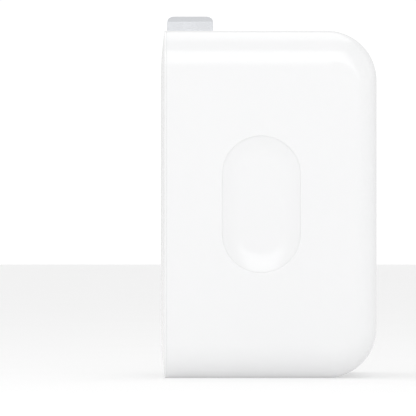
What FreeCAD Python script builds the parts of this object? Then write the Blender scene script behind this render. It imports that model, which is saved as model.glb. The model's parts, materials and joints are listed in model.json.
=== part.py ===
"""Compact wall-plug power adapter with two folding mains blades and two USB-C outlets.

Frame, in millimetres: +X points from the wall to the outlets, +Z is up, and Y runs across the adapter.
The origin is the centre of the face the adapter stands on. The blades are folded up, flat against the back.
"""

import FreeCAD, Part
import math
import os
import re
import Sketcher
from FreeCAD import Placement, Rotation, Vector

DIMENSIONS = [
    # case
    ("body_depth", 29.5, "case, from the wall face to the outlet face"),
    ("body_width", 58.0, "case, across"),
    ("body_height", 47.5, "case, from the standing face to the top"),
    ("wall_thickness", 2.0, "case walls"),
    ("profile_radius", 6.8, "outlet-end corners, seen from the side"),
    ("side_radius", 4.7, "edges between the side faces and the top and bottom"),
    ("front_radius", 2.6, "edges between the side faces and the outlet face"),
    ("finger_width", 10.8, "finger dish, along X"),
    ("finger_height", 18.8, "finger dish, along Z"),
    ("finger_depth", 0.75, "finger dish floor below the side face"),
    ("finger_slope", 3.0, "run of the dish's curved edge"),
    ("finger_shift", 1.0, "dish centre, towards the wall from the case centre"),
    ("ledge_height", 1.6, "ledges that carry the main board"),
    ("ledge_width", 1.6, "ledges, across"),
    ("ledge_span", 10.0, "ledges, along X"),
    ("ledge_side", 24.1, "ledges from the middle"),
    # wall-side cover
    ("crown_rise", 0.53, "how far the middle of the cover stands out past its edge"),
    ("crown_reach", 6.5, "width of the curved border round the cover's flat middle"),
    ("rim_height", 0.2, "straight edge of the cover that shows at the seam"),
    ("seam_gap", 0.08, "hairline between cover and housing"),
    ("cover_thickness", 2.0, "cover plate, from its outer face"),
    ("skirt_gap", 0.1, "clearance between the cover's skirt and the housing walls"),
    ("skirt_thickness", 1.2, "cover skirt wall"),
    ("skirt_depth", 2.3, "cover skirt, past the plate"),
    # folding plug
    ("blade_width", 6.35, "mains blade"),
    ("blade_thickness", 1.5, "mains blade"),
    ("blade_spacing", 12.7, "mains blades, centre to centre"),
    ("blade_reach", 21.85, "pivot to blade tip"),
    ("pivot_inset", 4.0, "pivot behind the wall face"),
    ("tip_stand_out", 2.25, "folded blade tips above the case top"),
    ("tip_bevel_height", 0.75, "bevel on both broad faces of the tip"),
    ("tip_bevel_depth", 0.42, "bevel, into the blade's thickness"),
    ("tip_corner", 0.8, "rounding of the tip's corners"),
    ("heel_width", 3.0, "contact heel behind the pivot"),
    ("heel_reach", 5.3, "pivot to the end of the heel"),
    ("blade_root", 0.6, "full-width part of the blade past the pivot"),
    ("slot_gap", 0.3, "clearance each side of a folded blade"),
    ("slot_wall", 1.0, "walls of the channels that hold the folded blades"),
    ("rotor_radius", 3.9, "moulded barrel that carries the blades"),
    ("rotor_length", 22.0, "barrel, along the pivot"),
    ("rotor_gap", 0.2, "clearance round the barrel"),
    ("window_height", 6.9, "opening in the cover for the barrel"),
    ("trunnion_radius", 1.5, "barrel journals"),
    ("trunnion_length", 2.2, "barrel journals"),
    ("trunnion_gap", 0.03, "running clearance of the journals"),
    ("detent_flat", 3.35, "pivot to the barrel's detent flats"),
    ("detent_width", 6.4, "detent flats, across"),
    # hinge retainer, springs and screws
    ("saddle_width", 2.0, "bearing ribs on the cover"),
    ("saddle_half", 4.5, "bearing ribs, half their height"),
    ("retainer_half_width", 14.2, "hinge retainer, across"),
    ("retainer_depth", 5.75, "hinge retainer, along X"),
    ("retainer_up", 5.2, "hinge retainer above the pivot"),
    ("retainer_down", 6.6, "hinge retainer below the pivot"),
    ("ear_inner", 9.0, "screw ears, inner edge"),
    ("ear_thickness", 1.6, "screw ears"),
    ("ear_up", 9.5, "top of the upper ears above the pivot"),
    ("ear_down", 10.6, "bottom of the lower ears below the pivot"),
    ("screw_side", 11.6, "screws from the middle"),
    ("screw_up", 7.4, "upper screws above the pivot"),
    ("screw_down", 8.6, "lower screws below the pivot"),
    ("screw_radius", 0.8, "self-tapping screw shank"),
    ("screw_length", 4.3, "screw shank"),
    ("screw_head_radius", 1.5, "pan head"),
    ("screw_head_height", 1.0, "pan head"),
    ("screw_recess_half", 0.8, "half the length of the cross recess's bars"),
    ("screw_recess_width", 0.36, "bars of the cross recess"),
    ("screw_clearance", 0.15, "retainer holes round a screw"),
    ("boss_radius", 2.1, "screw bosses on the cover"),
    ("contact_thickness", 0.4, "contact springs"),
    ("contact_width", 2.4, "contact finger"),
    ("contact_gap", 0.08, "contact finger clear of the heel"),
    ("contact_low", 19.2, "underside of the contact's cross arm"),
    ("contact_arm", 2.0, "cross arm and leg of the contact"),
    ("contact_leg_side", 14.5, "inner edge of the contact's leg"),
    ("contact_top", 3.4, "top of the contact finger above the pivot"),
    ("heel_clearance", 0.25, "room round the turning heels"),
    ("window_clearance", 0.3, "retainer windows beside a contact finger"),
    ("window_depth", 2.6, "retainer windows, from the back"),
    ("spring_thickness", 0.3, "detent spring strip"),
    ("spring_width", 5.0, "detent spring"),
    ("spring_flat_half", 1.6, "half the flat that presses on the barrel"),
    ("spring_bend", 3.6, "where the sloped arms meet the spring's ends"),
    ("spring_end", 4.2, "ends of the detent spring from the pivot"),
    ("spring_lean", 0.36, "how far the inner bends lag behind the outer ones"),
    ("spring_window", 4.3, "window behind the detent spring, half its height"),
    ("spring_side_gap", 0.5, "window beside the detent spring"),
    ("spring_bar_half", 4.2, "bars that back the spring's ends, across"),
    ("spring_bar_start", 3.5, "inner edge of the bars from the pivot"),
    ("spring_bar_thickness", 0.7, "bars that back the spring's ends"),
    # outlets
    ("port_side", 9.5, "outlets from the middle"),
    ("port_recess", 0.65, "outlet mouth behind the case front"),
    ("port_width", 8.94, "outlet shell outside"),
    ("port_height", 3.16, "outlet shell outside"),
    ("port_wall", 0.3, "outlet shell sheet"),
    ("port_length", 7.5, "outlet shell"),
    ("port_clearance", 0.13, "case opening round the shell"),
    ("tongue_width", 6.69, "outlet tongue"),
    ("tongue_thickness", 0.7, "outlet tongue"),
    ("tongue_setback", 0.9, "tongue tip behind the mouth"),
    ("port_base", 1.6, "moulded block at the back of an outlet"),
    ("pad_pitch", 0.5, "outlet contact pads"),
    ("pad_width", 0.25, "outlet contact pads"),
    ("pad_length", 4.2, "outlet contact pads"),
    ("pad_thickness", 0.05, "outlet contact pads"),
    ("pad_setback", 0.5, "pads behind the tongue's tip"),
    ("pad_count", 12, "pads on each side of a tongue"),
    # boards
    ("board_thickness", 1.2, "both circuit boards"),
    ("board_rear", -10.2, "main board edge on the wall side"),
    ("board_front", 5.0, "main board edge on the outlet side"),
    ("board_half_width", 25.5, "main board, across"),
    ("port_board_half_width", 22.0, "outlet board, across"),
    ("port_board_low", 5.4, "outlet board, lower edge"),
    ("port_board_high", 41.0, "outlet board, upper edge"),
    ("lead_tail", 0.9, "leads below the main board"),
    ("hole_gap", 0.08, "board holes round a round lead"),
    ("slot_hole_gap", 0.05, "board holes round a square pin or tab"),
    ("link_pitch", 2.0, "pins between the two boards, three on each side"),
    ("link_side", 10.9, "middle pin of each three from the centre"),
    ("link_size", 0.6, "square pins"),
    ("link_place", 4.2, "pins on the main board, along X"),
    ("link_height", 7.6, "pins on the outlet board"),
    # transformer
    ("core_place", -2.6, "transformer centre, along X"),
    ("core_half_width", 10.0, "ferrite core, across"),
    ("core_half_depth", 5.0, "ferrite core, along X"),
    ("core_plate", 2.0, "ferrite back plates and outer legs"),
    ("core_leg_radius", 3.2, "ferrite centre leg"),
    ("core_low", 6.2, "underside of the core"),
    ("core_high", 18.8, "top of the core"),
    ("core_gap", 0.1, "air gap between the halves"),
    ("bobbin_bore", 3.35, "bobbin tube, inside"),
    ("bobbin_radius", 4.1, "bobbin tube, outside"),
    ("bobbin_flange", 7.4, "bobbin flanges"),
    ("bobbin_sheet", 0.8, "bobbin flange thickness"),
    ("winding_radius", 6.9, "taped winding"),
    ("rail_inner", 5.2, "bobbin pin rails from the core centre"),
    ("rail_outer", 7.0, "bobbin pin rails from the core centre"),
    ("rail_half", 8.0, "bobbin pin rails, half their length"),
    ("pin_radius", 0.35, "transformer pins"),
    ("pin_pitch", 4.0, "transformer pins"),
    # input side parts
    ("bulk_radius", 3.55, "bulk capacitor cans"),
    ("bulk_height", 30.0, "bulk capacitor cans"),
    ("bulk_side", 21.9, "bulk capacitors from the middle"),
    ("bulk_rear", -6.3, "rear bulk capacitor, along X"),
    ("bulk_front", 1.5, "front bulk capacitor, along X"),
    ("can_round", 0.4, "lower edge of a can"),
    ("can_top_round", 0.5, "upper edge of a can"),
    ("groove_low", 1.8, "rolled groove of a can, lower edge"),
    ("groove_high", 2.6, "rolled groove of a can, upper edge"),
    ("groove_depth", 0.45, "rolled groove of a can"),
    ("sleeve_thickness", 0.15, "capacitor sleeves"),
    ("sleeve_lap", 0.8, "sleeve folded over the can's top"),
    ("lead_radius", 0.3, "component leads"),
    ("bulk_lead_pitch", 3.5, "bulk capacitor leads"),
    ("film_place", 0.6, "film capacitor, along X"),
    ("film_side", 16.4, "film capacitor from the middle"),
    ("film_length", 8.4, "film capacitor"),
    ("film_width", 4.2, "film capacitor"),
    ("film_height", 10.0, "film capacitor"),
    ("film_round", 0.4, "upright edges of the film capacitor"),
    ("film_lead_half", 2.52, "film capacitor leads from its middle"),
    ("choke_place", -4.6, "choke, along X"),
    ("choke_side", 22.5, "choke from the middle"),
    ("choke_middle", 3.2, "choke core, mean radius"),
    ("choke_section", 1.9, "choke core, radial thickness"),
    ("choke_core_width", 2.8, "choke core, across"),
    ("choke_turn_radius", 2.0, "choke turns, mean radius"),
    ("choke_wire_radius", 0.28, "choke wire"),
    ("choke_turns", 5, "turns in each of the choke's two windings"),
    ("choke_step", 27.0, "degrees between turns"),
    ("fuse_place", 3.0, "fuse, along X"),
    ("fuse_radius", 1.8, "fuse"),
    ("fuse_height", 8.0, "fuse"),
    ("fuse_round", 0.3, "upper edge of the fuse"),
    ("fuse_lead_half", 1.1, "fuse leads from its middle"),
    ("disc_radius", 3.3, "disc parts"),
    ("disc_thickness", 2.4, "disc parts"),
    ("disc_lift", 1.4, "disc parts above the board"),
    ("disc_round", 0.9, "rims of the disc parts"),
    ("disc_lead_pitch", 4.4, "disc parts' leads"),
    ("disc_place", 0.6, "disc parts, along X"),
    ("thermistor_side", 15.6, "inrush thermistor from the middle"),
    ("safety_side", 12.2, "safety capacitor from the middle"),
    ("chip_side", 12.3, "surface parts beside the transformer"),
    ("chip_rear", -6.8, "surface parts nearer the wall, along X"),
    ("chip_front", 0.4, "surface parts nearer the outlets, along X"),
    ("chip_lift", 0.15, "surface parts with legs, above the board"),
    ("leg_pitch", 2.54, "legs of surface parts"),
    ("leg_half", 0.3, "legs of surface parts, half their width"),
    ("leg_reach", 0.9, "legs of surface parts, past the body"),
    ("leg_height", 0.5, "legs of surface parts"),
    # outlet board parts
    ("controller_size", 4.0, "outlet controllers"),
    ("controller_height", 0.8, "outlet controllers"),
    ("inductor_size", 6.6, "moulded inductors"),
    ("inductor_height", 3.0, "moulded inductors"),
    ("output_can_radius", 3.1, "output capacitors"),
    ("output_can_height", 5.2, "output capacitors"),
    ("output_can_side", 18.4, "output capacitors from the middle"),
    ("output_can_base", 0.8, "square base of an output capacitor"),
    ("output_can_margin", 0.1, "output can inside its base"),
    ("chip_count", 9, "chip parts in a row on the outlet board"),
    ("chip_pitch", 3.6, "chip parts on the outlet board"),
    ("chip_half_width", 0.4, "chip parts, across"),
    ("chip_half_length", 0.8, "chip parts, along Z"),
    ("chip_thickness", 0.6, "chip parts"),
    ("chip_low_row", 18.6, "lower row of chip parts"),
    ("chip_high_row", 29.2, "upper row of chip parts"),
    ("upper_row", 34.0, "inductors on the outlet board"),
    ("lower_row", 13.5, "controllers on the outlet board"),
    # heat and insulation
    ("spreader_half_width", 15.0, "heat spreader, across"),
    ("spreader_thickness", 1.0, "heat spreader"),
    ("spreader_low", 21.0, "heat spreader, lower edge"),
    ("spreader_high", 42.0, "heat spreader, upper edge"),
    ("gap_pad_thickness", 1.2, "thermal pad"),
    ("gap_pad_half_width", 13.0, "thermal pad, across"),
    ("gap_pad_low", 22.0, "thermal pad, lower edge"),
    ("gap_pad_high", 39.0, "thermal pad, upper edge"),
    ("barrier_thickness", 0.4, "insulation barrier"),
    ("barrier_half_width", 13.6, "insulation barrier, across"),
    ("barrier_gap", 1.2, "insulation barrier behind the hinge retainer"),
    ("barrier_high", 44.0, "insulation barrier, upper edge"),
]

doc = FreeCAD.newDocument("wall_power_adapter")
sheet = doc.addObject("Spreadsheet::Sheet", "Dimensions")
for row, (alias, number, meaning) in enumerate(DIMENSIONS, 1):
    sheet.set(f"A{row}", meaning)
    sheet.set(f"B{row}", str(number))
    sheet.setAlias(f"B{row}", alias)
doc.recompute()

ALIASES = {alias for alias, _, _ in DIMENSIONS}
WORD = re.compile(r"[a-z_]+")

# Places that many pieces share, as formulas of the sheet's cells.
REAR = "(-body_depth / 2)"
FRONT = "(body_depth / 2)"
RIM_OUTER = f"({REAR} + crown_rise)"
RIM_INNER = f"({RIM_OUTER} + rim_height)"
SEAM = f"({RIM_INNER} + seam_gap)"
PLATE_INNER = f"({REAR} + cover_thickness)"
PIVOT_X = f"({REAR} + pivot_inset)"
PIVOT_Z = "(body_height + tip_stand_out - blade_reach)"
RETAINER_BACK = f"({PIVOT_X} + retainer_depth)"
SLOT_FLOOR = f"({PIVOT_X} + blade_width / 2 + slot_gap)"
BOARD_LOW = "(wall_thickness + ledge_height)"
BOARD_TOP = f"({BOARD_LOW} + board_thickness)"
MOUTH = f"({FRONT} - port_recess)"
PORT_BOARD_FRONT = f"({MOUTH} - port_length)"
PORT_BOARD_REAR = f"({PORT_BOARD_FRONT} - board_thickness)"
PORT_Z = "(body_height / 2)"

PIECES = {}


def cells(formula):
    """The formula with each alias written as a reference to the sheet."""
    return WORD.sub(lambda m: f"Dimensions.{m[0]}" if m[0] in ALIASES else m[0], str(formula))


def value(formula):
    """The formula's present value."""
    return float(sheet.evalExpression(cells(formula)))


def keep(name, made):
    """Registers an object as a sub-part under the name its file will have."""
    made.Label = name
    PIECES[name] = made
    return made


# ---------------------------------------------------------------- Part primitives


def block(name, x, y, z):
    """A box between the low and high formulas given for each axis."""
    made = doc.addObject("Part::Box", name)
    for size, axis, (low, high) in zip(("Length", "Width", "Height"), "xyz", (x, y, z)):
        made.setExpression(size, cells(f"({high}) - ({low})"))
        made.setExpression(f"Placement.Base.{axis}", cells(low))
    return made


TURNS = {
    "x": Rotation(Vector(0, 1, 0), 90),
    "y": Rotation(Vector(1, 0, 0), -90),
    "z": Rotation(),
}


def rod(name, axis, radius, across, span):
    """A cylinder along an axis. across holds its centre on the two other axes, and span its ends."""
    made = doc.addObject("Part::Cylinder", name)
    made.Placement = Placement(Vector(), TURNS[axis])
    made.setExpression("Radius", cells(radius))
    made.setExpression("Height", cells(f"({span[1]}) - ({span[0]})"))
    others = [a for a in "xyz" if a != axis]
    for a, place in zip(others, across):
        made.setExpression(f"Placement.Base.{a}", cells(place))
    made.setExpression(f"Placement.Base.{axis}", cells(span[0]))
    return made


def fused(name, *shapes):
    """One solid of several shapes."""
    made = doc.addObject("Part::MultiFuse", name)
    made.Shapes = list(shapes)
    return made


def cut(name, base, *tools):
    """The base less the tools."""
    made = doc.addObject("Part::Cut", name)
    made.Base = base
    made.Tool = tools[0] if len(tools) == 1 else fused(f"{name}_tools", *tools)
    return made


def group(name, *shapes):
    """Separate solids that share one node."""
    made = doc.addObject("Part::Compound", name)
    made.Links = list(shapes)
    return made


def rounded(name, base, radii):
    """Rounds the base's edges, smallest radius first. radii(edge) gives (start, end) or None."""
    doc.recompute()
    made = doc.addObject("Part::Fillet", name)
    made.Base = base
    found = [(n, radii(edge)) for n, edge in enumerate(base.Shape.Edges, 1)]
    chosen = [(n, *pair) for n, pair in found if pair]
    made.Edges = sorted(chosen, key=lambda edge: edge[1] + edge[2])
    return made


# ---------------------------------------------------------------- PartDesign bodies and sketches


def new_body(name):
    return doc.addObject("PartDesign::Body", name)


def sketch_on(body, name, role, offset="0"):
    """A sketch on one of the body's own planes, moved along the plane's normal."""
    made = body.newObject("Sketcher::SketchObject", name)
    plane = next(f for f in body.Origin.OriginFeatures if f.Role == role)
    made.AttachmentSupport = [(plane, "")]
    made.MapMode = "FlatFace"
    made.setExpression(".AttachmentOffset.Base.z", cells(offset))
    return made


def bind(sketch, constraint, formula):
    """Adds a driving constraint whose value follows a formula."""
    number = sketch.addConstraint(constraint)
    sketch.setExpression(f"Constraints[{number}]", cells(formula))


def pin_point(sketch, geometry, end, point):
    """Holds one end of a line at the place that two formulas give."""
    for kind, formula in zip(("DistanceX", "DistanceY"), point):
        bind(sketch, Sketcher.Constraint(kind, -1, 1, geometry, end, value(formula)), formula)


def outline(sketch, points):
    """A closed outline of straight sides through the points."""
    spots = [Vector(value(a), value(b), 0) for a, b in points]
    first = sketch.GeometryCount
    count = len(points)
    for n in range(count):
        sketch.addGeometry(Part.LineSegment(spots[n], spots[(n + 1) % count]))
    for n in range(count):
        sketch.addConstraint(
            Sketcher.Constraint("Coincident", first + n, 2, first + (n + 1) % count, 1)
        )
    for n, point in enumerate(points):
        pin_point(sketch, first + n, 1, point)


def rectangle(sketch, across, up):
    """A rectangle between low and high formulas along the sketch's two axes."""
    (left, right), (low, high) = across, up
    outline(sketch, [(left, low), (right, low), (right, high), (left, high)])


def circle(sketch, centre, radius):
    """A full circle."""
    spot = Vector(value(centre[0]), value(centre[1]), 0)
    n = sketch.addGeometry(Part.Circle(spot, Vector(0, 0, 1), value(radius)))
    bind(sketch, Sketcher.Constraint("Radius", n, value(radius)), radius)
    pin_point(sketch, n, 3, centre)


def rounded_rectangle(sketch, across, up, radius):
    """A rectangle with four equal round corners, drawn anticlockwise from its lower side."""
    (left, right), (low, high) = [[value(f) for f in pair] for pair in (across, up)]
    r = value(radius)
    first = sketch.GeometryCount
    ring = [
        (left + r, low, right - r, low, right - r, low + r, -90),
        (right, low + r, right, high - r, right - r, high - r, 0),
        (right - r, high, left + r, high, left + r, high - r, 90),
        (left, high - r, left, low + r, left + r, low + r, 180),
    ]
    for x1, y1, x2, y2, cx, cy, start in ring:
        sketch.addGeometry(Part.LineSegment(Vector(x1, y1, 0), Vector(x2, y2, 0)))
        full = Part.Circle(Vector(cx, cy, 0), Vector(0, 0, 1), r)
        a = math.radians(start)
        sketch.addGeometry(Part.ArcOfCircle(full, a, a + math.pi / 2))
    for n in range(8):
        sketch.addConstraint(
            Sketcher.Constraint("Tangent", first + n, 2, first + (n + 1) % 8, 1)
        )
    for n, kind in ((0, "Horizontal"), (2, "Vertical"), (4, "Horizontal"), (6, "Vertical")):
        sketch.addConstraint(Sketcher.Constraint(kind, first + n))
    for n in (3, 5, 7):
        sketch.addConstraint(Sketcher.Constraint("Equal", first + 1, first + n))
    bind(sketch, Sketcher.Constraint("Radius", first + 1, r), radius)
    sides = [("DistanceY", 0, up[0]), ("DistanceX", 2, across[1])]
    sides += [("DistanceY", 4, up[1]), ("DistanceX", 6, across[0])]
    for kind, n, formula in sides:
        bind(sketch, Sketcher.Constraint(kind, -1, 1, first + n, 1, value(formula)), formula)


def solid_feature(body, kind, sketch, length, midplane=False, backwards=False):
    """A Pad or Pocket of a sketch. A Pad runs along the sketch's normal, a Pocket against it."""
    made = body.newObject(f"PartDesign::{kind}", f"{sketch.Name}_{kind.lower()}")
    made.Profile = sketch
    made.setExpression("Length", cells(length))
    made.Midplane = midplane
    made.Reversed = backwards
    return made


def padded(name, role, draw, length, offset="0", midplane=False):
    """A body with one pad. draw puts the outline in its sketch."""
    body = new_body(name)
    sketch = sketch_on(body, f"{name}_outline", role, offset)
    draw(sketch)
    solid_feature(body, "Pad", sketch, length, midplane)
    return body


def add(body, kind, label, role, draw, length, offset="0", midplane=False, backwards=False):
    """One more pad or pocket on a body."""
    sketch = sketch_on(body, label, role, offset)
    draw(sketch)
    return solid_feature(body, kind, sketch, length, midplane, backwards)


def revolved(name, profile, place):
    """A body turned about its own vertical axis. profile holds (radius, height) formulas."""
    body = new_body(name)
    sketch = sketch_on(body, f"{name}_profile", "XZ_Plane")
    outline(sketch, profile)
    turned = body.newObject("PartDesign::Revolution", f"{name}_turned")
    turned.Profile = sketch
    turned.ReferenceAxis = (sketch, ["V_Axis"])
    turned.Angle = 360
    for axis, formula in zip("xyz", place):
        body.setExpression(f"Placement.Base.{axis}", cells(formula))
    return body


SIDES = (("left", -1), ("right", 1))
BLADES = (("line", -1), ("neutral", 1))


# ---------------------------------------------------------------- housing


def case_form(name, rear, inset):
    """The case's rounded form, brought in by an inset, from a rear plane to the outlet end."""
    form = block(
        f"{name}_block",
        (rear, f"{FRONT} - {inset}"),
        (f"-body_width / 2 + {inset}", f"body_width / 2 - {inset}"),
        (inset, f"body_height - {inset}"),
    )
    front = value(f"{FRONT} - {inset}")
    profile = value(f"profile_radius - {inset}")
    large, small = value(f"side_radius - {inset}"), value(f"max(front_radius - {inset}; 1.2)")

    def profile_corner(edge):
        across = all(abs(v.X - front) < 1e-6 for v in edge.Vertexes)
        level = abs(edge.Vertexes[0].Z - edge.Vertexes[-1].Z) < 1e-6
        return (profile, profile) if across and level else None

    def side_edge(edge):
        """The path of each side's rounding climbs the outlet face, and its radii follow that way."""
        if abs(edge.Vertexes[0].Y - edge.Vertexes[-1].Y) > 1e-6:
            return None
        at_front = [abs(v.X - front) < 1e-6 for v in edge.Vertexes]
        if all(at_front):
            return small, small
        if any(at_front):
            return (large, small) if edge.CenterOfMass.z < value("body_height / 2") else (small, large)
        rear_edge = all(abs(v.X - value(rear)) < 1e-6 for v in edge.Vertexes)
        return None if rear_edge else (large, large)

    corners = rounded(f"{name}_corners", form, profile_corner)
    return rounded(f"{name}_form", corners, side_edge)


def finger_dish(side):
    """A long dish with a flat floor: its section swept along Z, with a half turn at each end."""
    rim, slope, deep = value("finger_width / 2"), value("finger_slope"), value("finger_depth")
    face = value("body_width / 2")
    straight = value("finger_height / 2") - rim
    radius = (slope**2 + deep**2) / (2 * deep)
    half_turn = math.asin(slope / radius) / 2
    middle = Vector(
        rim - slope + radius * math.sin(half_turn), face - deep + radius * (1 - math.cos(half_turn))
    )
    inner, outer = Vector(rim - slope, face - deep), Vector(rim, face)
    beyond = face + deep
    corners = [outer, Vector(rim, beyond), Vector(0, beyond), Vector(0, face - deep), inner]
    edges = [Part.makeLine(a, b) for a, b in zip(corners, corners[1:])]
    edges.append(Part.Arc(inner, middle, outer).toShape())
    section = Part.Face(Part.Wire(Part.__sortEdges__(edges)))
    half = section.extrude(Vector(0, 0, 2 * straight))
    half.translate(Vector(0, 0, -straight))
    bowl = section.revolve(Vector(), Vector(0, 1, 0), 360)
    low, high = bowl.copy(), bowl.copy()
    low.translate(Vector(0, 0, -straight))
    high.translate(Vector(0, 0, straight))
    dish = half.fuse([half.mirror(Vector(), Vector(1, 0, 0)), low, high]).removeSplitter()
    if side < 0:
        dish = dish.mirror(Vector(), Vector(0, 1, 0))
    made = doc.addObject("Part::Feature", "finger_dish")
    made.Shape = dish
    made.Placement = Placement(Vector(-value("finger_shift"), 0, value("body_height / 2")), Rotation())
    return made


def blade_channel(side):
    """Low and high formulas, across, of the channel that a folded blade lies in."""
    middle = f"{side} * blade_spacing / 2"
    half = "(blade_thickness / 2 + slot_gap)"
    return f"{middle} - {half}", f"{middle} + {half}"


def housing():
    """The one-piece outer shell: five walls, finger dishes, outlet mouths, blade notches."""
    outer = case_form("outer", SEAM, "0")
    inner = case_form("cavity", f"{SEAM} - 2", "wall_thickness")
    shell = cut("shell", outer, inner)
    ledges = [
        block(
            f"{word}_ledge",
            ("core_place - ledge_span / 2", "core_place + ledge_span / 2"),
            (f"{side} * ledge_side - ledge_width / 2", f"{side} * ledge_side + ledge_width / 2"),
            ("wall_thickness", BOARD_LOW),
        )
        for word, side in SIDES
    ]
    dished = cut("dished_shell", shell, *[finger_dish(side) for _, side in SIDES])
    tools = [
        block(
            f"{word}_notch",
            (f"{SEAM} - 1", SLOT_FLOOR),
            blade_channel(side),
            ("body_height - wall_thickness - 1", "body_height + 1"),
        )
        for word, side in SIDES
    ]
    for word, side in SIDES:
        tools.append(
            padded(
                f"{word}_mouth_tool",
                "YZ_Plane",
                lambda sketch, side=side: port_ring(sketch, side, "port_clearance"),
                "wall_thickness + 2",
                f"{FRONT} - wall_thickness - 1",
            )
        )
    return cut("housing", fused("ribbed_shell", dished, *ledges), *tools)


# ---------------------------------------------------------------- wall-side cover


def case_outline(sketch, inset, radius):
    """The case's outline across X, brought in by an inset."""
    rounded_rectangle(
        sketch,
        (f"-body_width / 2 + {inset}", f"body_width / 2 - {inset}"),
        (inset, f"body_height - {inset}"),
        radius,
    )


def rear_cover():
    """The crowned cover with its skirt, blade channels, barrel window and bearing ribs."""
    body = new_body("rear_cover")
    rim = sketch_on(body, "cover_rim", "YZ_Plane", RIM_OUTER)
    case_outline(rim, "0", "side_radius")
    solid_feature(body, "Pad", rim, "rim_height")
    shoulder = sketch_on(body, "cover_shoulder", "YZ_Plane", f"{REAR} + crown_rise / 4")
    case_outline(shoulder, "(crown_reach / 2)", "side_radius * 0.9")
    crest = sketch_on(body, "cover_crest", "YZ_Plane", REAR)
    case_outline(crest, "crown_reach", "side_radius * 0.8")
    crown = body.newObject("PartDesign::AdditiveLoft", "cover_crown")
    crown.Profile = rim
    crown.Sections = [shoulder, crest]
    inset = "(wall_thickness + skirt_gap)"
    inner_radius = f"side_radius - {inset}"
    deep = f"{PLATE_INNER} - {RIM_INNER}"
    add(body, "Pad", "cover_plate", "YZ_Plane",
        lambda s: case_outline(s, inset, inner_radius), deep, RIM_INNER)

    def ring(sketch):
        case_outline(sketch, inset, inner_radius)
        case_outline(sketch, f"({inset} + skirt_thickness)", f"{inner_radius} - skirt_thickness")

    add(body, "Pad", "cover_skirt", "YZ_Plane", ring, "skirt_depth", PLATE_INNER)

    def channels(sketch):
        for _, side in SIDES:
            low, high = blade_channel(side)
            top = f"body_height - {inset}"
            bottom = f"{PIVOT_Z} + retainer_up + 0.1"
            rectangle(sketch, (f"{low} - slot_wall", f"{high} + slot_wall"), (bottom, top))

    add(body, "Pad", "channel_walls", "YZ_Plane", channels,
        f"{SLOT_FLOOR} + slot_wall - {PLATE_INNER}", PLATE_INNER)

    def ribs(sketch):
        for _, side in SIDES:
            near = f"{side} * (rotor_length / 2 + rotor_gap)"
            far = f"{side} * (rotor_length / 2 + rotor_gap + saddle_width)"
            rectangle(sketch, (near, far), (f"{PIVOT_Z} - saddle_half", f"{PIVOT_Z} + saddle_half"))

    add(body, "Pad", "bearing_ribs", "YZ_Plane", ribs, f"{PIVOT_X} - {PLATE_INNER}", PLATE_INNER)
    add(body, "Pad", "screw_bosses", "YZ_Plane",
        lambda s: screw_circles(s, "boss_radius"), f"{PIVOT_X} - {PLATE_INNER}", PLATE_INNER)
    half = "(rotor_length / 2 + rotor_gap)"
    add(body, "Pocket", "barrel_window", "YZ_Plane",
        lambda s: rectangle(s, (f"-{half}", half),
                            (f"{PIVOT_Z} - window_height / 2", f"{PIVOT_Z} + window_height / 2")),
        "4 * cover_thickness", REAR, midplane=True)
    add(body, "Pocket", "barrel_seat", "XZ_Plane",
        lambda s: circle(s, (PIVOT_X, PIVOT_Z), "rotor_radius + rotor_gap"), f"2 * {half}", midplane=True)
    add(body, "Pocket", "journal_seats", "XZ_Plane",
        lambda s: circle(s, (PIVOT_X, PIVOT_Z), "trunnion_radius + trunnion_gap"),
        f"2 * ({half} + saddle_width)", midplane=True)
    for word, side in SIDES:
        low, high = blade_channel(side)
        add(body, "Pocket", f"{word}_channel", "XZ_Plane",
            lambda s: rectangle(s, (f"{REAR} - 1", SLOT_FLOOR), (PIVOT_Z, "body_height + 1")),
            f"{high} - ({low})", f"{-side} * blade_spacing / 2", midplane=True)
    add(body, "Pocket", "pilot_holes", "YZ_Plane",
        lambda s: screw_circles(s, "screw_radius"), "screw_length - ear_thickness",
        PIVOT_X)
    return body


# ---------------------------------------------------------------- folding plug


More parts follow.
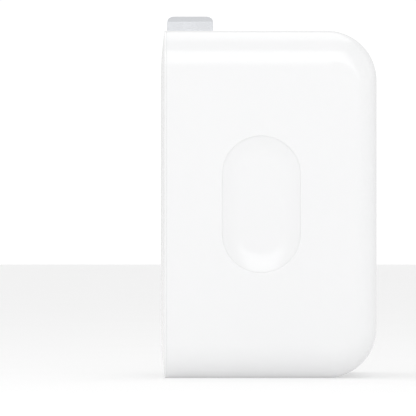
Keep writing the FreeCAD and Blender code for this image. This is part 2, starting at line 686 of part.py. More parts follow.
def blade_outline(sketch):
    """A blade's side view: full width from the root to the tip, and a narrow heel."""
    half, heel = "blade_width / 2", "heel_width / 2"
    end = "sqrt(heel_reach ^ 2 - (heel_width / 2) ^ 2)"
    root, tip = f"{PIVOT_Z} - blade_root", f"{PIVOT_Z} + blade_reach"
    corners = [
        (f"{PIVOT_X} + {heel}", f"{PIVOT_Z} - {end}"), (f"{PIVOT_X} + {heel}", root),
        (f"{PIVOT_X} + {half}", root), (f"{PIVOT_X} + {half}", f"{tip} - tip_corner"),
        (f"{PIVOT_X} + {half} - tip_corner", tip), (f"{PIVOT_X} - {half} + tip_corner", tip),
        (f"{PIVOT_X} - {half}", f"{tip} - tip_corner"), (f"{PIVOT_X} - {half}", root),
        (f"{PIVOT_X} - {heel}", root), (f"{PIVOT_X} - {heel}", f"{PIVOT_Z} - {end}"),
    ]
    places = [Vector(value(a), value(b), 0) for a, b in corners]
    round_after = {3: ("tip", 0), 5: ("tip", 1), 9: ("heel", 0)}
    first = sketch.GeometryCount
    pivot = Vector(value(PIVOT_X), value(PIVOT_Z), 0)
    for n, place in enumerate(places):
        following = places[(n + 1) % len(places)]
        if n not in round_after:
            sketch.addGeometry(Part.LineSegment(place, following))
            continue
        if n == 9:
            lowest = pivot - Vector(0, value("heel_reach"), 0)
            sketch.addGeometry(Part.Arc(place, lowest, following))
            continue
        r, side = value("tip_corner"), 1 if n == 3 else -1
        centre = Vector(value(PIVOT_X) + side * (value(half) - r), value(tip) - r, 0)
        bulge = centre + Vector(side * r, r, 0) * math.sqrt(0.5)
        sketch.addGeometry(Part.Arc(place, bulge, following))
    ends = [(1, 2)] * len(places)
    for n in round_after:  # an arc may be stored the other way round
        start = sketch.Geometry[first + n].StartPoint
        ends[n] = (1, 2) if start.isEqual(places[n], 1e-6) else (2, 1)
    for n, point in enumerate(corners):
        before = (n - 1) % len(places)
        sketch.addConstraint(
            Sketcher.Constraint("Coincident", first + before, ends[before][1], first + n, ends[n][0])
        )
        pin_point(sketch, first + n, ends[n][0], point)
    for n in round_after:
        radius = "heel_reach" if n == 9 else "tip_corner"
        bind(sketch, Sketcher.Constraint("Radius", first + n, value(radius)), radius)


def blade(name, side):
    """A solid brass mains blade with a bevelled tip."""
    body = padded(name, "XZ_Plane", blade_outline, "blade_thickness",
                  f"{-side} * blade_spacing / 2", midplane=True)
    middle, tip = f"{side} * blade_spacing / 2", f"{PIVOT_Z} + blade_reach"

    def bevels(sketch):
        for face in (-1, 1):
            skin = f"{middle} + {face} * blade_thickness / 2"
            outline(sketch, [(skin, f"{tip} - tip_bevel_height"),
                             (f"{skin} + {face}", f"{tip} - tip_bevel_height"),
                             (f"{skin} + {face}", f"{tip} + 1"),
                             (f"{skin} - {face} * tip_bevel_depth", f"{tip} + 1"),
                             (f"{skin} - {face} * tip_bevel_depth", tip)])

    add(body, "Pocket", f"{name}_bevels", "YZ_Plane", bevels, "4 * blade_width", PIVOT_X, midplane=True)
    return body


def blade_rotor():
    """The barrel moulded round the blade roots, with journals and two detent flats."""
    body = padded("blade_rotor", "XZ_Plane",
                  lambda s: circle(s, (PIVOT_X, PIVOT_Z), "rotor_radius"), "rotor_length", midplane=True)
    add(body, "Pad", "journals", "XZ_Plane",
        lambda s: circle(s, (PIVOT_X, PIVOT_Z), "trunnion_radius"),
        "rotor_length + 2 * trunnion_length", midplane=True)

    def flats(sketch):
        far = "2 * rotor_radius"
        rectangle(sketch, (f"{PIVOT_X} + detent_flat", f"{PIVOT_X} + {far}"),
                  (f"{PIVOT_Z} - {far}", f"{PIVOT_Z} + {far}"))

    def low_flat(sketch):
        far = "2 * rotor_radius"
        rectangle(sketch, (f"{PIVOT_X} - {far}", f"{PIVOT_X} + {far}"),
                  (f"{PIVOT_Z} - {far}", f"{PIVOT_Z} - detent_flat"))

    add(body, "Pocket", "folded_flat", "XZ_Plane", flats, "detent_width", midplane=True)
    add(body, "Pocket", "open_flat", "XZ_Plane", low_flat, "detent_width", midplane=True)
    for word, side in BLADES:
        add(body, "Pocket", f"{word}_blade_seat", "XZ_Plane", blade_outline, "blade_thickness",
            f"{-side} * blade_spacing / 2", midplane=True)
    return body


# ---------------------------------------------------------------- hinge retainer, springs, screws


def screw_places():
    """(across, up) formulas of the four screws."""
    ups = (f"{PIVOT_Z} + screw_up", f"{PIVOT_Z} - screw_down")
    return [(f"{side} * screw_side", up) for _, side in SIDES for up in ups]


def screw_circles(sketch, radius):
    for place in screw_places():
        circle(sketch, place, radius)


def hinge_retainer():
    """The moulded frame behind the barrel: it closes the bearings and holds the springs."""
    wide = "retainer_half_width"
    body = padded("hinge_retainer", "YZ_Plane",
                  lambda s: rectangle(s, (f"-{wide}", wide),
                                      (f"{PIVOT_Z} - retainer_down", f"{PIVOT_Z} + retainer_up")),
                  "retainer_depth", PIVOT_X)

    def ears(sketch):
        for _, side in SIDES:
            span = (f"{side} * ear_inner", f"{side} * {wide}")
            rectangle(sketch, span, (f"{PIVOT_Z} + retainer_up - 1", f"{PIVOT_Z} + ear_up"))
            rectangle(sketch, span, (f"{PIVOT_Z} - ear_down", f"{PIVOT_Z} - retainer_down + 1"))

    add(body, "Pad", "screw_ears", "YZ_Plane", ears, "ear_thickness", PIVOT_X)

    def bars(sketch):
        for low, high in (("spring_bar_start", "retainer_up"), ("-retainer_up", "-spring_bar_start")):
            rectangle(sketch, ("-spring_bar_half", "spring_bar_half"),
                      (f"{PIVOT_Z} + ({low})", f"{PIVOT_Z} + ({high})"))

    add(body, "Pad", "spring_bars", "YZ_Plane", bars, "spring_bar_thickness", RETAINER_BACK)
    half = "(rotor_length / 2 + rotor_gap)"
    add(body, "Pocket", "barrel_room", "XZ_Plane",
        lambda s: circle(s, (PIVOT_X, PIVOT_Z), "rotor_radius + rotor_gap"), f"2 * {half}", midplane=True)
    add(body, "Pocket", "journal_room", "XZ_Plane",
        lambda s: circle(s, (PIVOT_X, PIVOT_Z), "trunnion_radius + trunnion_gap"),
        f"2 * ({half} + saddle_width)", midplane=True)
    for word, side in SIDES:
        low, high = blade_channel(side)
        middle = f"{-side} * blade_spacing / 2"
        add(body, "Pocket", f"{word}_heel_room", "XZ_Plane",
            lambda s: circle(s, (PIVOT_X, PIVOT_Z), "heel_reach + heel_clearance"), f"{high} - ({low})",
            middle, midplane=True)
        add(body, "Pocket", f"{word}_blade_room", "XZ_Plane",
            lambda s: rectangle(s, (f"{PIVOT_X} - 1", SLOT_FLOOR), (PIVOT_Z, f"{PIVOT_Z} + 2 * retainer_up")),
            f"{high} - ({low})", middle, midplane=True)

    def contact_windows(sketch):
        for _, side in SIDES:
            middle, room = f"{side} * blade_spacing / 2", "(contact_width / 2 + window_clearance)"
            rectangle(sketch, (f"{middle} - {room}", f"{middle} + {room}"),
                      (f"{PIVOT_Z} - 2 * retainer_down", f"{PIVOT_Z} + retainer_up - 1"))
        rectangle(sketch, ("-spring_width / 2 - spring_side_gap", "spring_width / 2 + spring_side_gap"),
                  (f"{PIVOT_Z} - spring_window", f"{PIVOT_Z} + spring_window"))

    add(body, "Pocket", "spring_windows", "YZ_Plane", contact_windows, "window_depth", RETAINER_BACK)
    add(body, "Pocket", "screw_holes", "YZ_Plane",
        lambda s: screw_circles(s, "screw_radius + screw_clearance"), "6 * ear_thickness", PIVOT_X,
        midplane=True)
    return body


def contact(name, side):
    """A stamped spring: a finger that meets the blade's heel, a cross arm and a soldered leg."""
    near = f"{side} * (blade_spacing / 2 - contact_width / 2)"
    far = f"{side} * (blade_spacing / 2 + contact_width / 2)"
    leg_in, leg_out = f"{side} * contact_leg_side", f"{side} * (contact_leg_side + contact_arm)"
    tab_in = f"{side} * (contact_leg_side + contact_arm / 5)"
    tab_out = f"{side} * (contact_leg_side + contact_arm * 4 / 5)"
    top, arm_top = f"{PIVOT_Z} + contact_top", "contact_low + contact_arm"
    tail = f"{BOARD_LOW} - lead_tail"
    points = [(near, top), (near, "contact_low"), (leg_in, "contact_low"), (leg_in, BOARD_TOP),
              (tab_in, BOARD_TOP), (tab_in, tail), (tab_out, tail), (tab_out, BOARD_TOP),
              (leg_out, BOARD_TOP), (leg_out, arm_top), (far, arm_top), (far, top)]
    return padded(name, "YZ_Plane", lambda s: outline(s, points), "contact_thickness",
                  f"{PIVOT_X} + heel_reach + contact_gap")


def detent_spring():
    """A bowed steel strip whose flat middle presses on the barrel's detent flats."""
    near, back = f"{PIVOT_X} + detent_flat", f"{RETAINER_BACK} - spring_thickness"
    near_rear, back_rear = f"{near} + spring_thickness", f"{back} + spring_thickness"
    flat, bend, end, lean = "spring_flat_half", "spring_bend", "spring_end", "spring_lean"
    points = [(near, flat), (back, bend), (back, end), (back_rear, end),
              (back_rear, f"{bend} - {lean}"), (near_rear, f"{flat} - {lean}"),
              (near_rear, f"-{flat} + {lean}"), (back_rear, f"-{bend} + {lean}"),
              (back_rear, f"-{end}"), (back, f"-{end}"), (back, f"-{bend}"), (near, f"-{flat}")]
    places = [(x, f"{PIVOT_Z} + ({z})") for x, z in points]
    return padded("detent_spring", "XZ_Plane", lambda s: outline(s, places), "spring_width", midplane=True)


def retainer_screws():
    """Four identical pan-head self-tapping screws with a cross recess."""
    screws = []
    head_rear = f"{PIVOT_X} + ear_thickness"
    for n, (across, up) in enumerate(screw_places(), 1):
        head = rod(f"screw_head_{n}", "x", "screw_head_radius", (across, up),
                   (head_rear, f"{head_rear} + screw_head_height"))
        shank = rod(f"screw_shank_{n}", "x", "screw_radius", (across, up),
                    (f"{head_rear} - screw_length", f"{head_rear} + 0.1"))
        deep = (f"{head_rear} + screw_head_height / 2", f"{head_rear} + screw_head_height + 1")
        bars = [
            block(f"recess_{n}_{k}", deep, (f"{across} - {a}", f"{across} + {a}"),
                  (f"{up} - {b}", f"{up} + {b}"))
            for k, (a, b) in enumerate((("screw_recess_half", "screw_recess_width / 2"),
                                        ("screw_recess_width / 2", "screw_recess_half")))
        ]
        screws.append(cut(f"screw_{n}", fused(f"screw_blank_{n}", head, shank), *bars))
    return group("retainer_screws", *screws)


# ---------------------------------------------------------------- outlets


def port_ring(sketch, side, spread):
    """The outline of an outlet shell, widened all round."""
    half, tall = f"(port_width / 2 + {spread})", f"(port_height / 2 + {spread})"
    middle = f"{side} * port_side"
    rounded_rectangle(sketch, (f"{middle} - {half}", f"{middle} + {half}"),
                      (f"{PORT_Z} - {tall}", f"{PORT_Z} + {tall}"), f"{tall} - 0.02")


def port_shell(name, side):
    """A drawn steel shell, open at the mouth."""

    def ring(sketch):
        port_ring(sketch, side, "0")
        port_ring(sketch, side, "-port_wall")

    return padded(name, "YZ_Plane", ring, "port_length", PORT_BOARD_FRONT)


def port_tongue(name, side):
    """The moulded tongue and the block that holds it in the shell."""
    body = padded(name, "YZ_Plane", lambda s: port_ring(s, side, "-port_wall"), "port_base",
                  PORT_BOARD_FRONT)
    middle = f"{side} * port_side"
    add(body, "Pad", f"{name}_blade", "YZ_Plane",
        lambda s: rectangle(s, (f"{middle} - tongue_width / 2", f"{middle} + tongue_width / 2"),
                            (f"{PORT_Z} - tongue_thickness / 2", f"{PORT_Z} + tongue_thickness / 2")),
        "port_length - tongue_setback", PORT_BOARD_FRONT)
    return body


def port_contacts(name, side):
    """A row of plated pads above the tongue and a row below."""
    tip = f"{MOUTH} - tongue_setback - pad_setback"
    pads = []
    for n in range(int(value("pad_count"))):
        across = f"{side} * port_side + ({n} - (pad_count - 1) / 2) * pad_pitch"
        for face in (-1, 1):
            skin = f"{PORT_Z} + {face} * tongue_thickness / 2"
            z = (skin, f"{skin} + pad_thickness") if face > 0 else (f"{skin} - pad_thickness", skin)
            pads.append(block(f"{name}_{n}_{face + 1}", (f"{tip} - pad_length", tip),
                              (f"{across} - pad_width / 2", f"{across} + pad_width / 2"), z))
    return group(name, *pads)


# ---------------------------------------------------------------- boards

LEADS = []  # (x, y, radius) formulas of every round lead through the main board


def lead(name, x, y, top, radius="lead_radius"):
    """A straight round lead from above down through the main board."""
    LEADS.append((x, y, radius))
    return rod(name, "z", radius, (x, y), (f"{BOARD_LOW} - lead_tail", top))


def main_board():
    """The power board, drilled for every lead, pin and tab that passes through it."""
    board = padded("main_board", "XY_Plane",
                   lambda s: rectangle(s, ("board_rear", "board_front"),
                                       ("-board_half_width", "board_half_width")),
                   "board_thickness", BOARD_LOW)

    def holes(sketch):
        for x, y, radius in LEADS:
            circle(sketch, (x, y), f"{radius} + hole_gap")
        pin = "(link_size / 2 + slot_hole_gap)"
        for y in link_places():
            rectangle(sketch, (f"link_place - {pin}", f"link_place + {pin}"),
                      (f"{y} - {pin}", f"{y} + {pin}"))
        rear = f"{PIVOT_X} + heel_reach + contact_gap"
        tab = "(contact_arm * 0.3 + slot_hole_gap)"
        for _, side in SIDES:
            middle = f"{side} * (contact_leg_side + contact_arm / 2)"
            rectangle(sketch, (f"{rear} - slot_hole_gap", f"{rear} + contact_thickness + slot_hole_gap"),
                      (f"{middle} - {tab}", f"{middle} + {tab}"))

    add(board, "Pocket", "board_holes", "XY_Plane", holes, "2 * board_thickness",
        f"{BOARD_LOW} + board_thickness / 2", midplane=True)
    return board


def link_places():
    return [f"({side} * link_side + ({n}) * link_pitch)" for _, side in SIDES for n in (-1, 0, 1)]


def port_board():
    """The outlet board, upright behind the outlets."""
    wide = "port_board_half_width"
    board = padded("port_board", "YZ_Plane",
                   lambda s: rectangle(s, (f"-{wide}", wide), ("port_board_low", "port_board_high")),
                   "board_thickness", PORT_BOARD_REAR)

    def holes(sketch):
        pin = "(link_size / 2 + slot_hole_gap)"
        for y in link_places():
            rectangle(sketch, (f"{y} - {pin}", f"{y} + {pin}"),
                      (f"link_height - {pin}", f"link_height + {pin}"))

    add(board, "Pocket", "link_holes", "YZ_Plane", holes, "2 * board_thickness",
        f"{PORT_BOARD_REAR} + board_thickness / 2", midplane=True)
    return board


def board_link_pins():
    """Bent square pins that join the two boards at a right angle."""
    half = "link_size / 2"
    pins = []
    for n, y in enumerate(link_places()):
        upright = block(f"link_upright_{n}", (f"link_place - {half}", f"link_place + {half}"),
                        (f"{y} - {half}", f"{y} + {half}"),
                        (f"{BOARD_LOW} - lead_tail", f"link_height + {half}"))
        level = block(f"link_level_{n}", (f"link_place - {half}", f"{PORT_BOARD_FRONT} + lead_tail"),
                      (f"{y} - {half}", f"{y} + {half}"),
                      (f"link_height - {half}", f"link_height + {half}"))
        pins.append(fused(f"link_pin_{n}", upright, level))
    return group("board_link_pins", *pins)


# ---------------------------------------------------------------- transformer


def core_half(name, low, high, plate):
    """One ferrite half: a back plate, two outer legs and a round centre leg."""
    deep = ("core_place - core_half_depth", "core_place + core_half_depth")
    wide = "core_half_width"
    parts = [block(f"{name}_plate", deep, (f"-{wide}", wide), plate)]
    parts.append(rod(f"{name}_centre_leg", "z", "core_leg_radius", ("core_place", "0"), (low, high)))
    for word, side in SIDES:
        edges = sorted((f"{side} * ({wide} - core_plate)", f"{side} * {wide}"), key=value)
        parts.append(block(f"{name}_{word}_leg", deep, edges, (low, high)))
    return fused(name, *parts)


def transformer_core():
    """Two ferrite halves that meet round the bobbin."""
    middle = "((core_low + core_high) / 2)"
    lower = core_half("lower_core_half", "core_low", f"{middle} - core_gap / 2",
                      ("core_low", "core_low + core_plate"))
    upper = core_half("upper_core_half", f"{middle} + core_gap / 2", "core_high",
                      ("core_high - core_plate", "core_high"))
    return group("transformer_core", lower, upper)


FLANGE_LOW = "(core_low + core_plate + 0.1)"
FLANGE_HIGH = "(core_high - core_plate - 0.1)"


def pin_places():
    """(x, y) formulas of the eight transformer pins."""
    middle = "(rail_inner + rail_outer) / 2"
    return [
        (f"core_place + {row} * {middle}", f"({n - 1.5}) * pin_pitch")
        for row in (-1, 1)
        for n in range(4)
    ]


def transformer_pins():
    """Tinned pins pressed into the bobbin's rails."""
    pins = [lead(f"transformer_pin_{n}", x, y, f"{BOARD_TOP} + 2", "pin_radius")
            for n, (x, y) in enumerate(pin_places())]
    return group("transformer_pins", *pins)


def transformer_bobbin(pins):
    """The moulded former: a tube, two flanges and a pin rail on each long side."""
    at = ("core_place", "0")
    solid = [
        rod("bobbin_tube", "z", "bobbin_radius", at, (FLANGE_LOW, FLANGE_HIGH)),
        rod("bobbin_lower_flange", "z", "bobbin_flange", at, (FLANGE_LOW, f"{FLANGE_LOW} + bobbin_sheet")),
        rod("bobbin_upper_flange", "z", "bobbin_flange", at, (f"{FLANGE_HIGH} - bobbin_sheet", FLANGE_HIGH)),
    ]
    for row in (-1, 1):
        edges = sorted((f"core_place + {row} * rail_inner", f"core_place + {row} * rail_outer"), key=value)
        solid.append(block(f"bobbin_rail_{row + 1}", edges, ("-rail_half", "rail_half"),
                           (BOARD_TOP, f"{FLANGE_LOW} + bobbin_sheet")))
    bore = rod("bobbin_bore_tool", "z", "bobbin_bore", at, (f"{FLANGE_LOW} - 1", f"{FLANGE_HIGH} + 1"))
    return cut("transformer_bobbin", fused("bobbin_blank", *solid), bore, pins)


def transformer_winding():
    """The layered coil under its tape."""
    span = (f"{FLANGE_LOW} + bobbin_sheet", f"{FLANGE_HIGH} - bobbin_sheet")
    at = ("core_place", "0")
    outer = rod("winding_outer", "z", "winding_radius", at, span)
    inner = rod("winding_inner", "z", "bobbin_radius", at, span)
    return cut("transformer_winding", outer, inner)


# ---------------------------------------------------------------- input side parts


def bulk_capacitor(word, x):
    """An electrolytic capacitor: can with a rolled groove, shrink sleeve and two leads."""
    r, tall = "bulk_radius", "bulk_height"
    place = (x, "bulk_side", BOARD_TOP)
    keep(f"{word}_bulk_capacitor_can", revolved(f"{word}_can", [
        ("0", "0"), (f"{r} - can_round", "0"), (r, "can_round"), (r, "groove_low"),
        (f"{r} - groove_depth", "(groove_low + groove_high) / 2"), (r, "groove_high"),
        (r, f"{tall} - can_top_round"), (f"{r} - can_top_round", tall), ("0", tall)], place))
    outer, over = f"{r} + sleeve_thickness", f"{tall} + sleeve_thickness"
    shoulder, lap = f"{r} - can_top_round", f"{r} - can_top_round - sleeve_lap"
    keep(f"{word}_bulk_capacitor_sleeve", revolved(f"{word}_sleeve", [
        (r, "groove_high"), (outer, "groove_high"), (outer, f"{tall} - can_top_round"), (shoulder, over),
        (lap, over), (lap, tall), (shoulder, tall), (r, f"{tall} - can_top_round")], place))
    leads = [lead(f"{word}_can_lead_{n}", f"{x} + ({n}) * bulk_lead_pitch / 2", "bulk_side", BOARD_TOP)
             for n in (-1, 1)]
    keep(f"{word}_bulk_capacitor_leads", group(f"{word}_leads", *leads))


def film_capacitor():
    """A boxed film capacitor across the mains, standing on two leads."""
    half, thick = "film_length / 2", "film_width / 2"
    case = block("film_block", (f"film_place - {half}", f"film_place + {half}"),
                 (f"-film_side - {thick}", f"-film_side + {thick}"),
                 (BOARD_TOP, f"{BOARD_TOP} + film_height"))
    corner = (value("film_round"), value("film_round"))
    upright = lambda e: corner if abs(e.Vertexes[0].Z - e.Vertexes[-1].Z) > 1 else None
    keep("film_capacitor", rounded("film_case", case, upright))
    leads = [lead(f"film_lead_{n}", f"film_place + ({n}) * film_lead_half", "-film_side", BOARD_TOP)
             for n in (-1, 1)]
    keep("film_capacitor_leads", group("film_leads", *leads))


def choke():
    """The common-mode choke: a ferrite ring with two separate windings."""
    height = f"({BOARD_TOP} + choke_middle + choke_turn_radius + choke_wire_radius + 0.1)"
    at = ("choke_place", height)
    span = ("-choke_side - choke_core_width / 2", "-choke_side + choke_core_width / 2")
    ring = cut("choke_ring",
               rod("choke_outer", "y", "choke_middle + choke_section / 2", at, span),
               rod("choke_inner", "y", "choke_middle - choke_section / 2", at, span))
    keep("choke_core", ring)
    for word, middle in (("front", 0), ("rear", 180)):
        turns = []
        for n in range(int(value("choke_turns"))):
            angle = math.radians(middle + (n - (value("choke_turns") - 1) / 2) * value("choke_step"))
            turn = doc.addObject("Part::Torus", f"choke_{word}_turn_{n}")
            turn.setExpression("Radius1", cells("choke_turn_radius"))
            turn.setExpression("Radius2", cells("choke_wire_radius"))
            tangent = Vector(-math.sin(angle), 0, math.cos(angle))
            turn.Placement = Placement(Vector(), Rotation(Vector(0, 0, 1), tangent))
            across, up = math.cos(angle), math.sin(angle)
            turn.setExpression("Placement.Base.x", cells(f"choke_place + choke_middle * {across:.6f}"))
            turn.setExpression("Placement.Base.y", cells("-choke_side"))
            turn.setExpression("Placement.Base.z", cells(f"{height} + choke_middle * {up:.6f}"))
            turns.append(turn)
        keep(f"choke_{word}_winding", group(f"choke_{word}_turns", *turns))


def fuse():
    """A cylindrical plastic fuse that stands on two leads."""
    r, tall = "fuse_radius", "fuse_height"
    keep("mains_fuse", revolved("fuse_case", [
        ("0", "0"), (r, "0"), (r, f"{tall} - fuse_round"), (f"{r} - fuse_round", tall), ("0", tall)],
        ("fuse_place", "-choke_side", BOARD_TOP)))
    leads = [lead(f"fuse_lead_{n}", "fuse_place", f"-choke_side + ({n}) * fuse_lead_half", BOARD_TOP)
             for n in (-1, 1)]
    keep("mains_fuse_leads", group("fuse_leads", *leads))


def disc_part(name, side_place):
    """A coated disc on two leads: the inrush thermistor or the safety capacitor."""
    height = f"({BOARD_TOP} + disc_lift + disc_radius)"
    disc = rod(f"{name}_disc", "y", "disc_radius", ("disc_place", height),
               (f"{side_place} - disc_thickness / 2", f"{side_place} + disc_thickness / 2"))
    rim = lambda e: (value("disc_round"), value("disc_round")) if e.Closed else None
    body = rounded(f"{name}_coat", disc, rim)
    leads = [lead(f"{name}_lead_{n}", f"disc_place + ({n}) * disc_lead_pitch / 2", side_place, height)
             for n in (-1, 1)]
    pair = group(f"{name}_lead_pair", *leads)
    keep(name, cut(f"{name}_body", body, pair))
    keep(f"{name}_leads", cut(f"{name}_lead_ends", pair, body))


def surface_part(name, place, side, size, tall, legs=0):
    """A moulded surface part on the main board, with gull-wing legs where it has them."""
    x, y = place, f"{side} * chip_side"
    length, width = size
    lift = "chip_lift" if legs else "0"
    case = block(f"{name}_case", (f"{x} - {length / 2}", f"{x} + {length / 2}"),
                 (f"{y} - {width / 2}", f"{y} + {width / 2}"),
                 (f"{BOARD_TOP} + {lift}", f"{BOARD_TOP} + {tall}"))
    keep(name, case)
    if not legs:
        return
    feet = []
    for n in range(legs):
        along = f"{y} + ({n - (legs - 1) / 2}) * leg_pitch"
        for end in (-1, 1):
            near, far = f"{x} + {end} * {length / 2}", f"{x} + {end} * ({length / 2} + leg_reach)"
            feet.append(block(f"{name}_foot_{n}_{end + 1}", sorted((near, far), key=value),
                              (f"{along} - leg_half", f"{along} + leg_half"),
                              (BOARD_TOP, f"{BOARD_TOP} + leg_height")))
    keep(f"{name}_legs", group(f"{name}_feet", *feet))


# ---------------------------------------------------------------- outlet board parts


def board_part(name, y, z, half, tall):
    """A square part on the front of the outlet board."""
    return block(name, (PORT_BOARD_FRONT, f"{PORT_BOARD_FRONT} + {tall}"),
                 (f"{y} - {half}", f"{y} + {half}"), (f"{z} - {half}", f"{z} + {half}"))


def output_capacitor(name, side):
    """A polymer capacitor can on its square base."""
    y = f"{side} * output_can_side"
    base = board_part(f"{name}_base", y, PORT_Z, "output_can_radius", "output_can_base")
    can = rod(f"{name}_can", "x", "output_can_radius - output_can_margin", (y, PORT_Z),
              (f"{PORT_BOARD_FRONT} + output_can_base - output_can_margin",
               f"{PORT_BOARD_FRONT} + output_can_height"))
    turn, half_way = value("can_top_round"), value(f"{PORT_BOARD_FRONT} + output_can_height / 2")
    crown = lambda e: (turn, turn) if e.Closed and e.Vertexes[0].X > half_way else None
    return fused(name, base, rounded(f"{name}_top", can, crown))


def board_passives():
    """Small chip parts in two rows on the front of the outlet board."""
    chips = []
    for row in ("chip_low_row", "chip_high_row"):
        for n in range(int(value("chip_count"))):
            y = f"({n} - (chip_count - 1) / 2) * chip_pitch"
            chips.append(block(f"{row}_{n}", (PORT_BOARD_FRONT, f"{PORT_BOARD_FRONT} + chip_thickness"),
                               (f"{y} - chip_half_width", f"{y} + chip_half_width"),
                               (f"{row} - chip_half_length", f"{row} + chip_half_length")))
    return group("outlet_board_passives", *chips)


# ---------------------------------------------------------------- build and export


def build():
    keep("housing", housing())
    keep("rear_cover", rear_cover())
    for word, side in BLADES:
        keep(f"{word}_blade", blade(f"{word}_blade", side))
        keep(f"{word}_contact_spring", contact(f"{word}_contact", side))
    keep("blade_rotor", blade_rotor())
    keep("hinge_retainer", hinge_retainer())
    keep("detent_spring", detent_spring())
    keep("retainer_screws", retainer_screws())
    for word, side in SIDES:
        keep(f"{word}_outlet_shell", port_shell(f"{word}_shell", side))
        keep(f"{word}_outlet_tongue", port_tongue(f"{word}_tongue", side))
        keep(f"{word}_outlet_contacts", port_contacts(f"{word}_contacts", side))
    pins = transformer_pins()
    keep("transformer_pins", pins)
    keep("transformer_bobbin", transformer_bobbin(pins))
    keep("transformer_core", transformer_core())
    keep("transformer_winding", transformer_winding())
    bulk_capacitor("rear", "bulk_rear")
    bulk_capacitor("front", "bulk_front")
    film_capacitor()
    choke()
    fuse()
    disc_part("inrush_thermistor", "thermistor_side")
    disc_part("safety_capacitor", "safety_side")
    surface_part("bridge_rectifier", "chip_rear", -1, (4.0, 3.8), 2.4, legs=2)
    surface_part("power_switch", "chip_front", -1, (6.0, 3.6), 0.9)
    surface_part("optocoupler", "chip_rear", 1, (4.4, 3.4), 2.2, legs=1)
    for word, side in SIDES:
        y = f"{side} * port_side"
        keep(f"{word}_outlet_controller",
             board_part(f"{word}_controller", y, "lower_row", "controller_size / 2", "controller_height"))
        keep(f"{word}_outlet_inductor",
             board_part(f"{word}_inductor", y, "upper_row", "inductor_size / 2", "inductor_height"))
        keep(f"{word}_output_capacitor", output_capacitor(f"{word}_output_can", side))
    keep("outlet_board_passives", board_passives())
    spreader_front = f"({PORT_BOARD_REAR} - gap_pad_thickness)"
    keep("heat_spreader", block("spreader_plate", (f"{spreader_front} - spreader_thickness", spreader_front),
                                ("-spreader_half_width", "spreader_half_width"),
                                ("spreader_low", "spreader_high")))
    keep("thermal_pad", block("pad_sheet", (spreader_front, PORT_BOARD_REAR),
                              ("-gap_pad_half_width", "gap_pad_half_width"),
                              ("gap_pad_low", "gap_pad_high")))
    barrier_rear = f"{RETAINER_BACK} + barrier_gap"
    keep("insulation_barrier", block("barrier_sheet", (barrier_rear, f"{barrier_rear} + barrier_thickness"),
                                     ("-barrier_half_width", "barrier_half_width"),
                                     ("contact_low", "barrier_high")))
    keep("board_link_pins", board_link_pins())
    keep("port_board", port_board())
    keep("main_board", main_board())


def check_and_export():
    """Stops on any failed object or bad shape, then writes one STEP file per sub-part."""
    doc.recompute()
    for made in doc.Objects:
        if "Invalid" in made.State or "Error" in made.State:
            raise RuntimeError(f"{made.Name} failed: {made.State}")
    os.makedirs("parts", exist_ok=True)
    for name, made in PIECES.items():
        shape = made.Shape
        if shape.isNull() or not shape.isValid() or not shape.Solids:
            raise RuntimeError(f"{name} has no valid solid")
        shape.exportStep(f"parts/{name}.step")
    for name, made in sorted(PIECES.items()):
        print(f"{name}: {len(made.Shape.Solids)} solid(s), {made.Shape.Volume:.1f} mm3")


build()
check_and_export()
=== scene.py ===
"""Looks of a wall-plug power adapter: a glossy white case with two folding mains blades and two outlets.

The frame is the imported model's: metres, +X from the wall to the outlets, +Z up, Y across the adapter.
It stands on Z = 0 with its blades folded up, flat against the back.
"""

import json

import bmesh
import bpy
import numpy as np
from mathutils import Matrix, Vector


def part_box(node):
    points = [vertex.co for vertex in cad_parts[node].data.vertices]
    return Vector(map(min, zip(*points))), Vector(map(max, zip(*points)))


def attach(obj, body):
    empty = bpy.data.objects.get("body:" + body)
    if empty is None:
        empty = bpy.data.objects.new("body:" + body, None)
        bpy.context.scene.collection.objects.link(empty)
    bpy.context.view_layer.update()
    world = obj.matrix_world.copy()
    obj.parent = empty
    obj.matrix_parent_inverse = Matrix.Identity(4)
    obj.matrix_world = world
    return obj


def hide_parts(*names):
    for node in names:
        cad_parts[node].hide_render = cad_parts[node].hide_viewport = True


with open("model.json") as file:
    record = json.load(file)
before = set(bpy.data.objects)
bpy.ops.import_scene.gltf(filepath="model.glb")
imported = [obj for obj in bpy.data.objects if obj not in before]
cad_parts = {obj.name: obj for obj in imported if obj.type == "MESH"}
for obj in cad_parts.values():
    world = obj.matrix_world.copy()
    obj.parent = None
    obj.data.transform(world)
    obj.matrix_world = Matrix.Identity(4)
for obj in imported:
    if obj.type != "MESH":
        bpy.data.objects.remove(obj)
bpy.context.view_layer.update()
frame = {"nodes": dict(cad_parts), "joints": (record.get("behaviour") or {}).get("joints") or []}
MM = 0.001


# ---------------------------------------------------------------- the set
# A white studio sky over a pale floor, a soft box above the side that is looked at, one above each end,
# and a broad light from overhead and behind. The camera stands level with the middle of the case and looks
# straight at its tall narrow side.

case_low, case_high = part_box("housing")
VIEW_WIDTH = 56.75 * MM
CAMERA_GAP = 1.5
NEAREST_SEEN = 0.1
AIM_ABOVE_MIDDLE = -0.5 * MM
AIM_FROM_FRONT = 23.03 * MM
SENSOR = 36.0

lens = bpy.data.cameras.new("level_camera")
lens.sensor_width = SENSOR
lens.lens = SENSOR * CAMERA_GAP / VIEW_WIDTH
lens.clip_start = NEAREST_SEEN
camera = bpy.data.objects.new("level_camera", lens)
camera.location = (
    case_high.x - AIM_FROM_FRONT,
    case_low.y - CAMERA_GAP,
    (case_low.z + case_high.z) / 2 + AIM_ABOVE_MIDDLE,
)
camera.rotation_euler = (np.pi / 2, 0, 0)
bpy.context.scene.collection.objects.link(camera)
bpy.context.scene.camera = camera
bpy.context.scene.view_settings.view_transform = "Standard"

LIGHT_AIM = Vector((0, 0, 0.02))


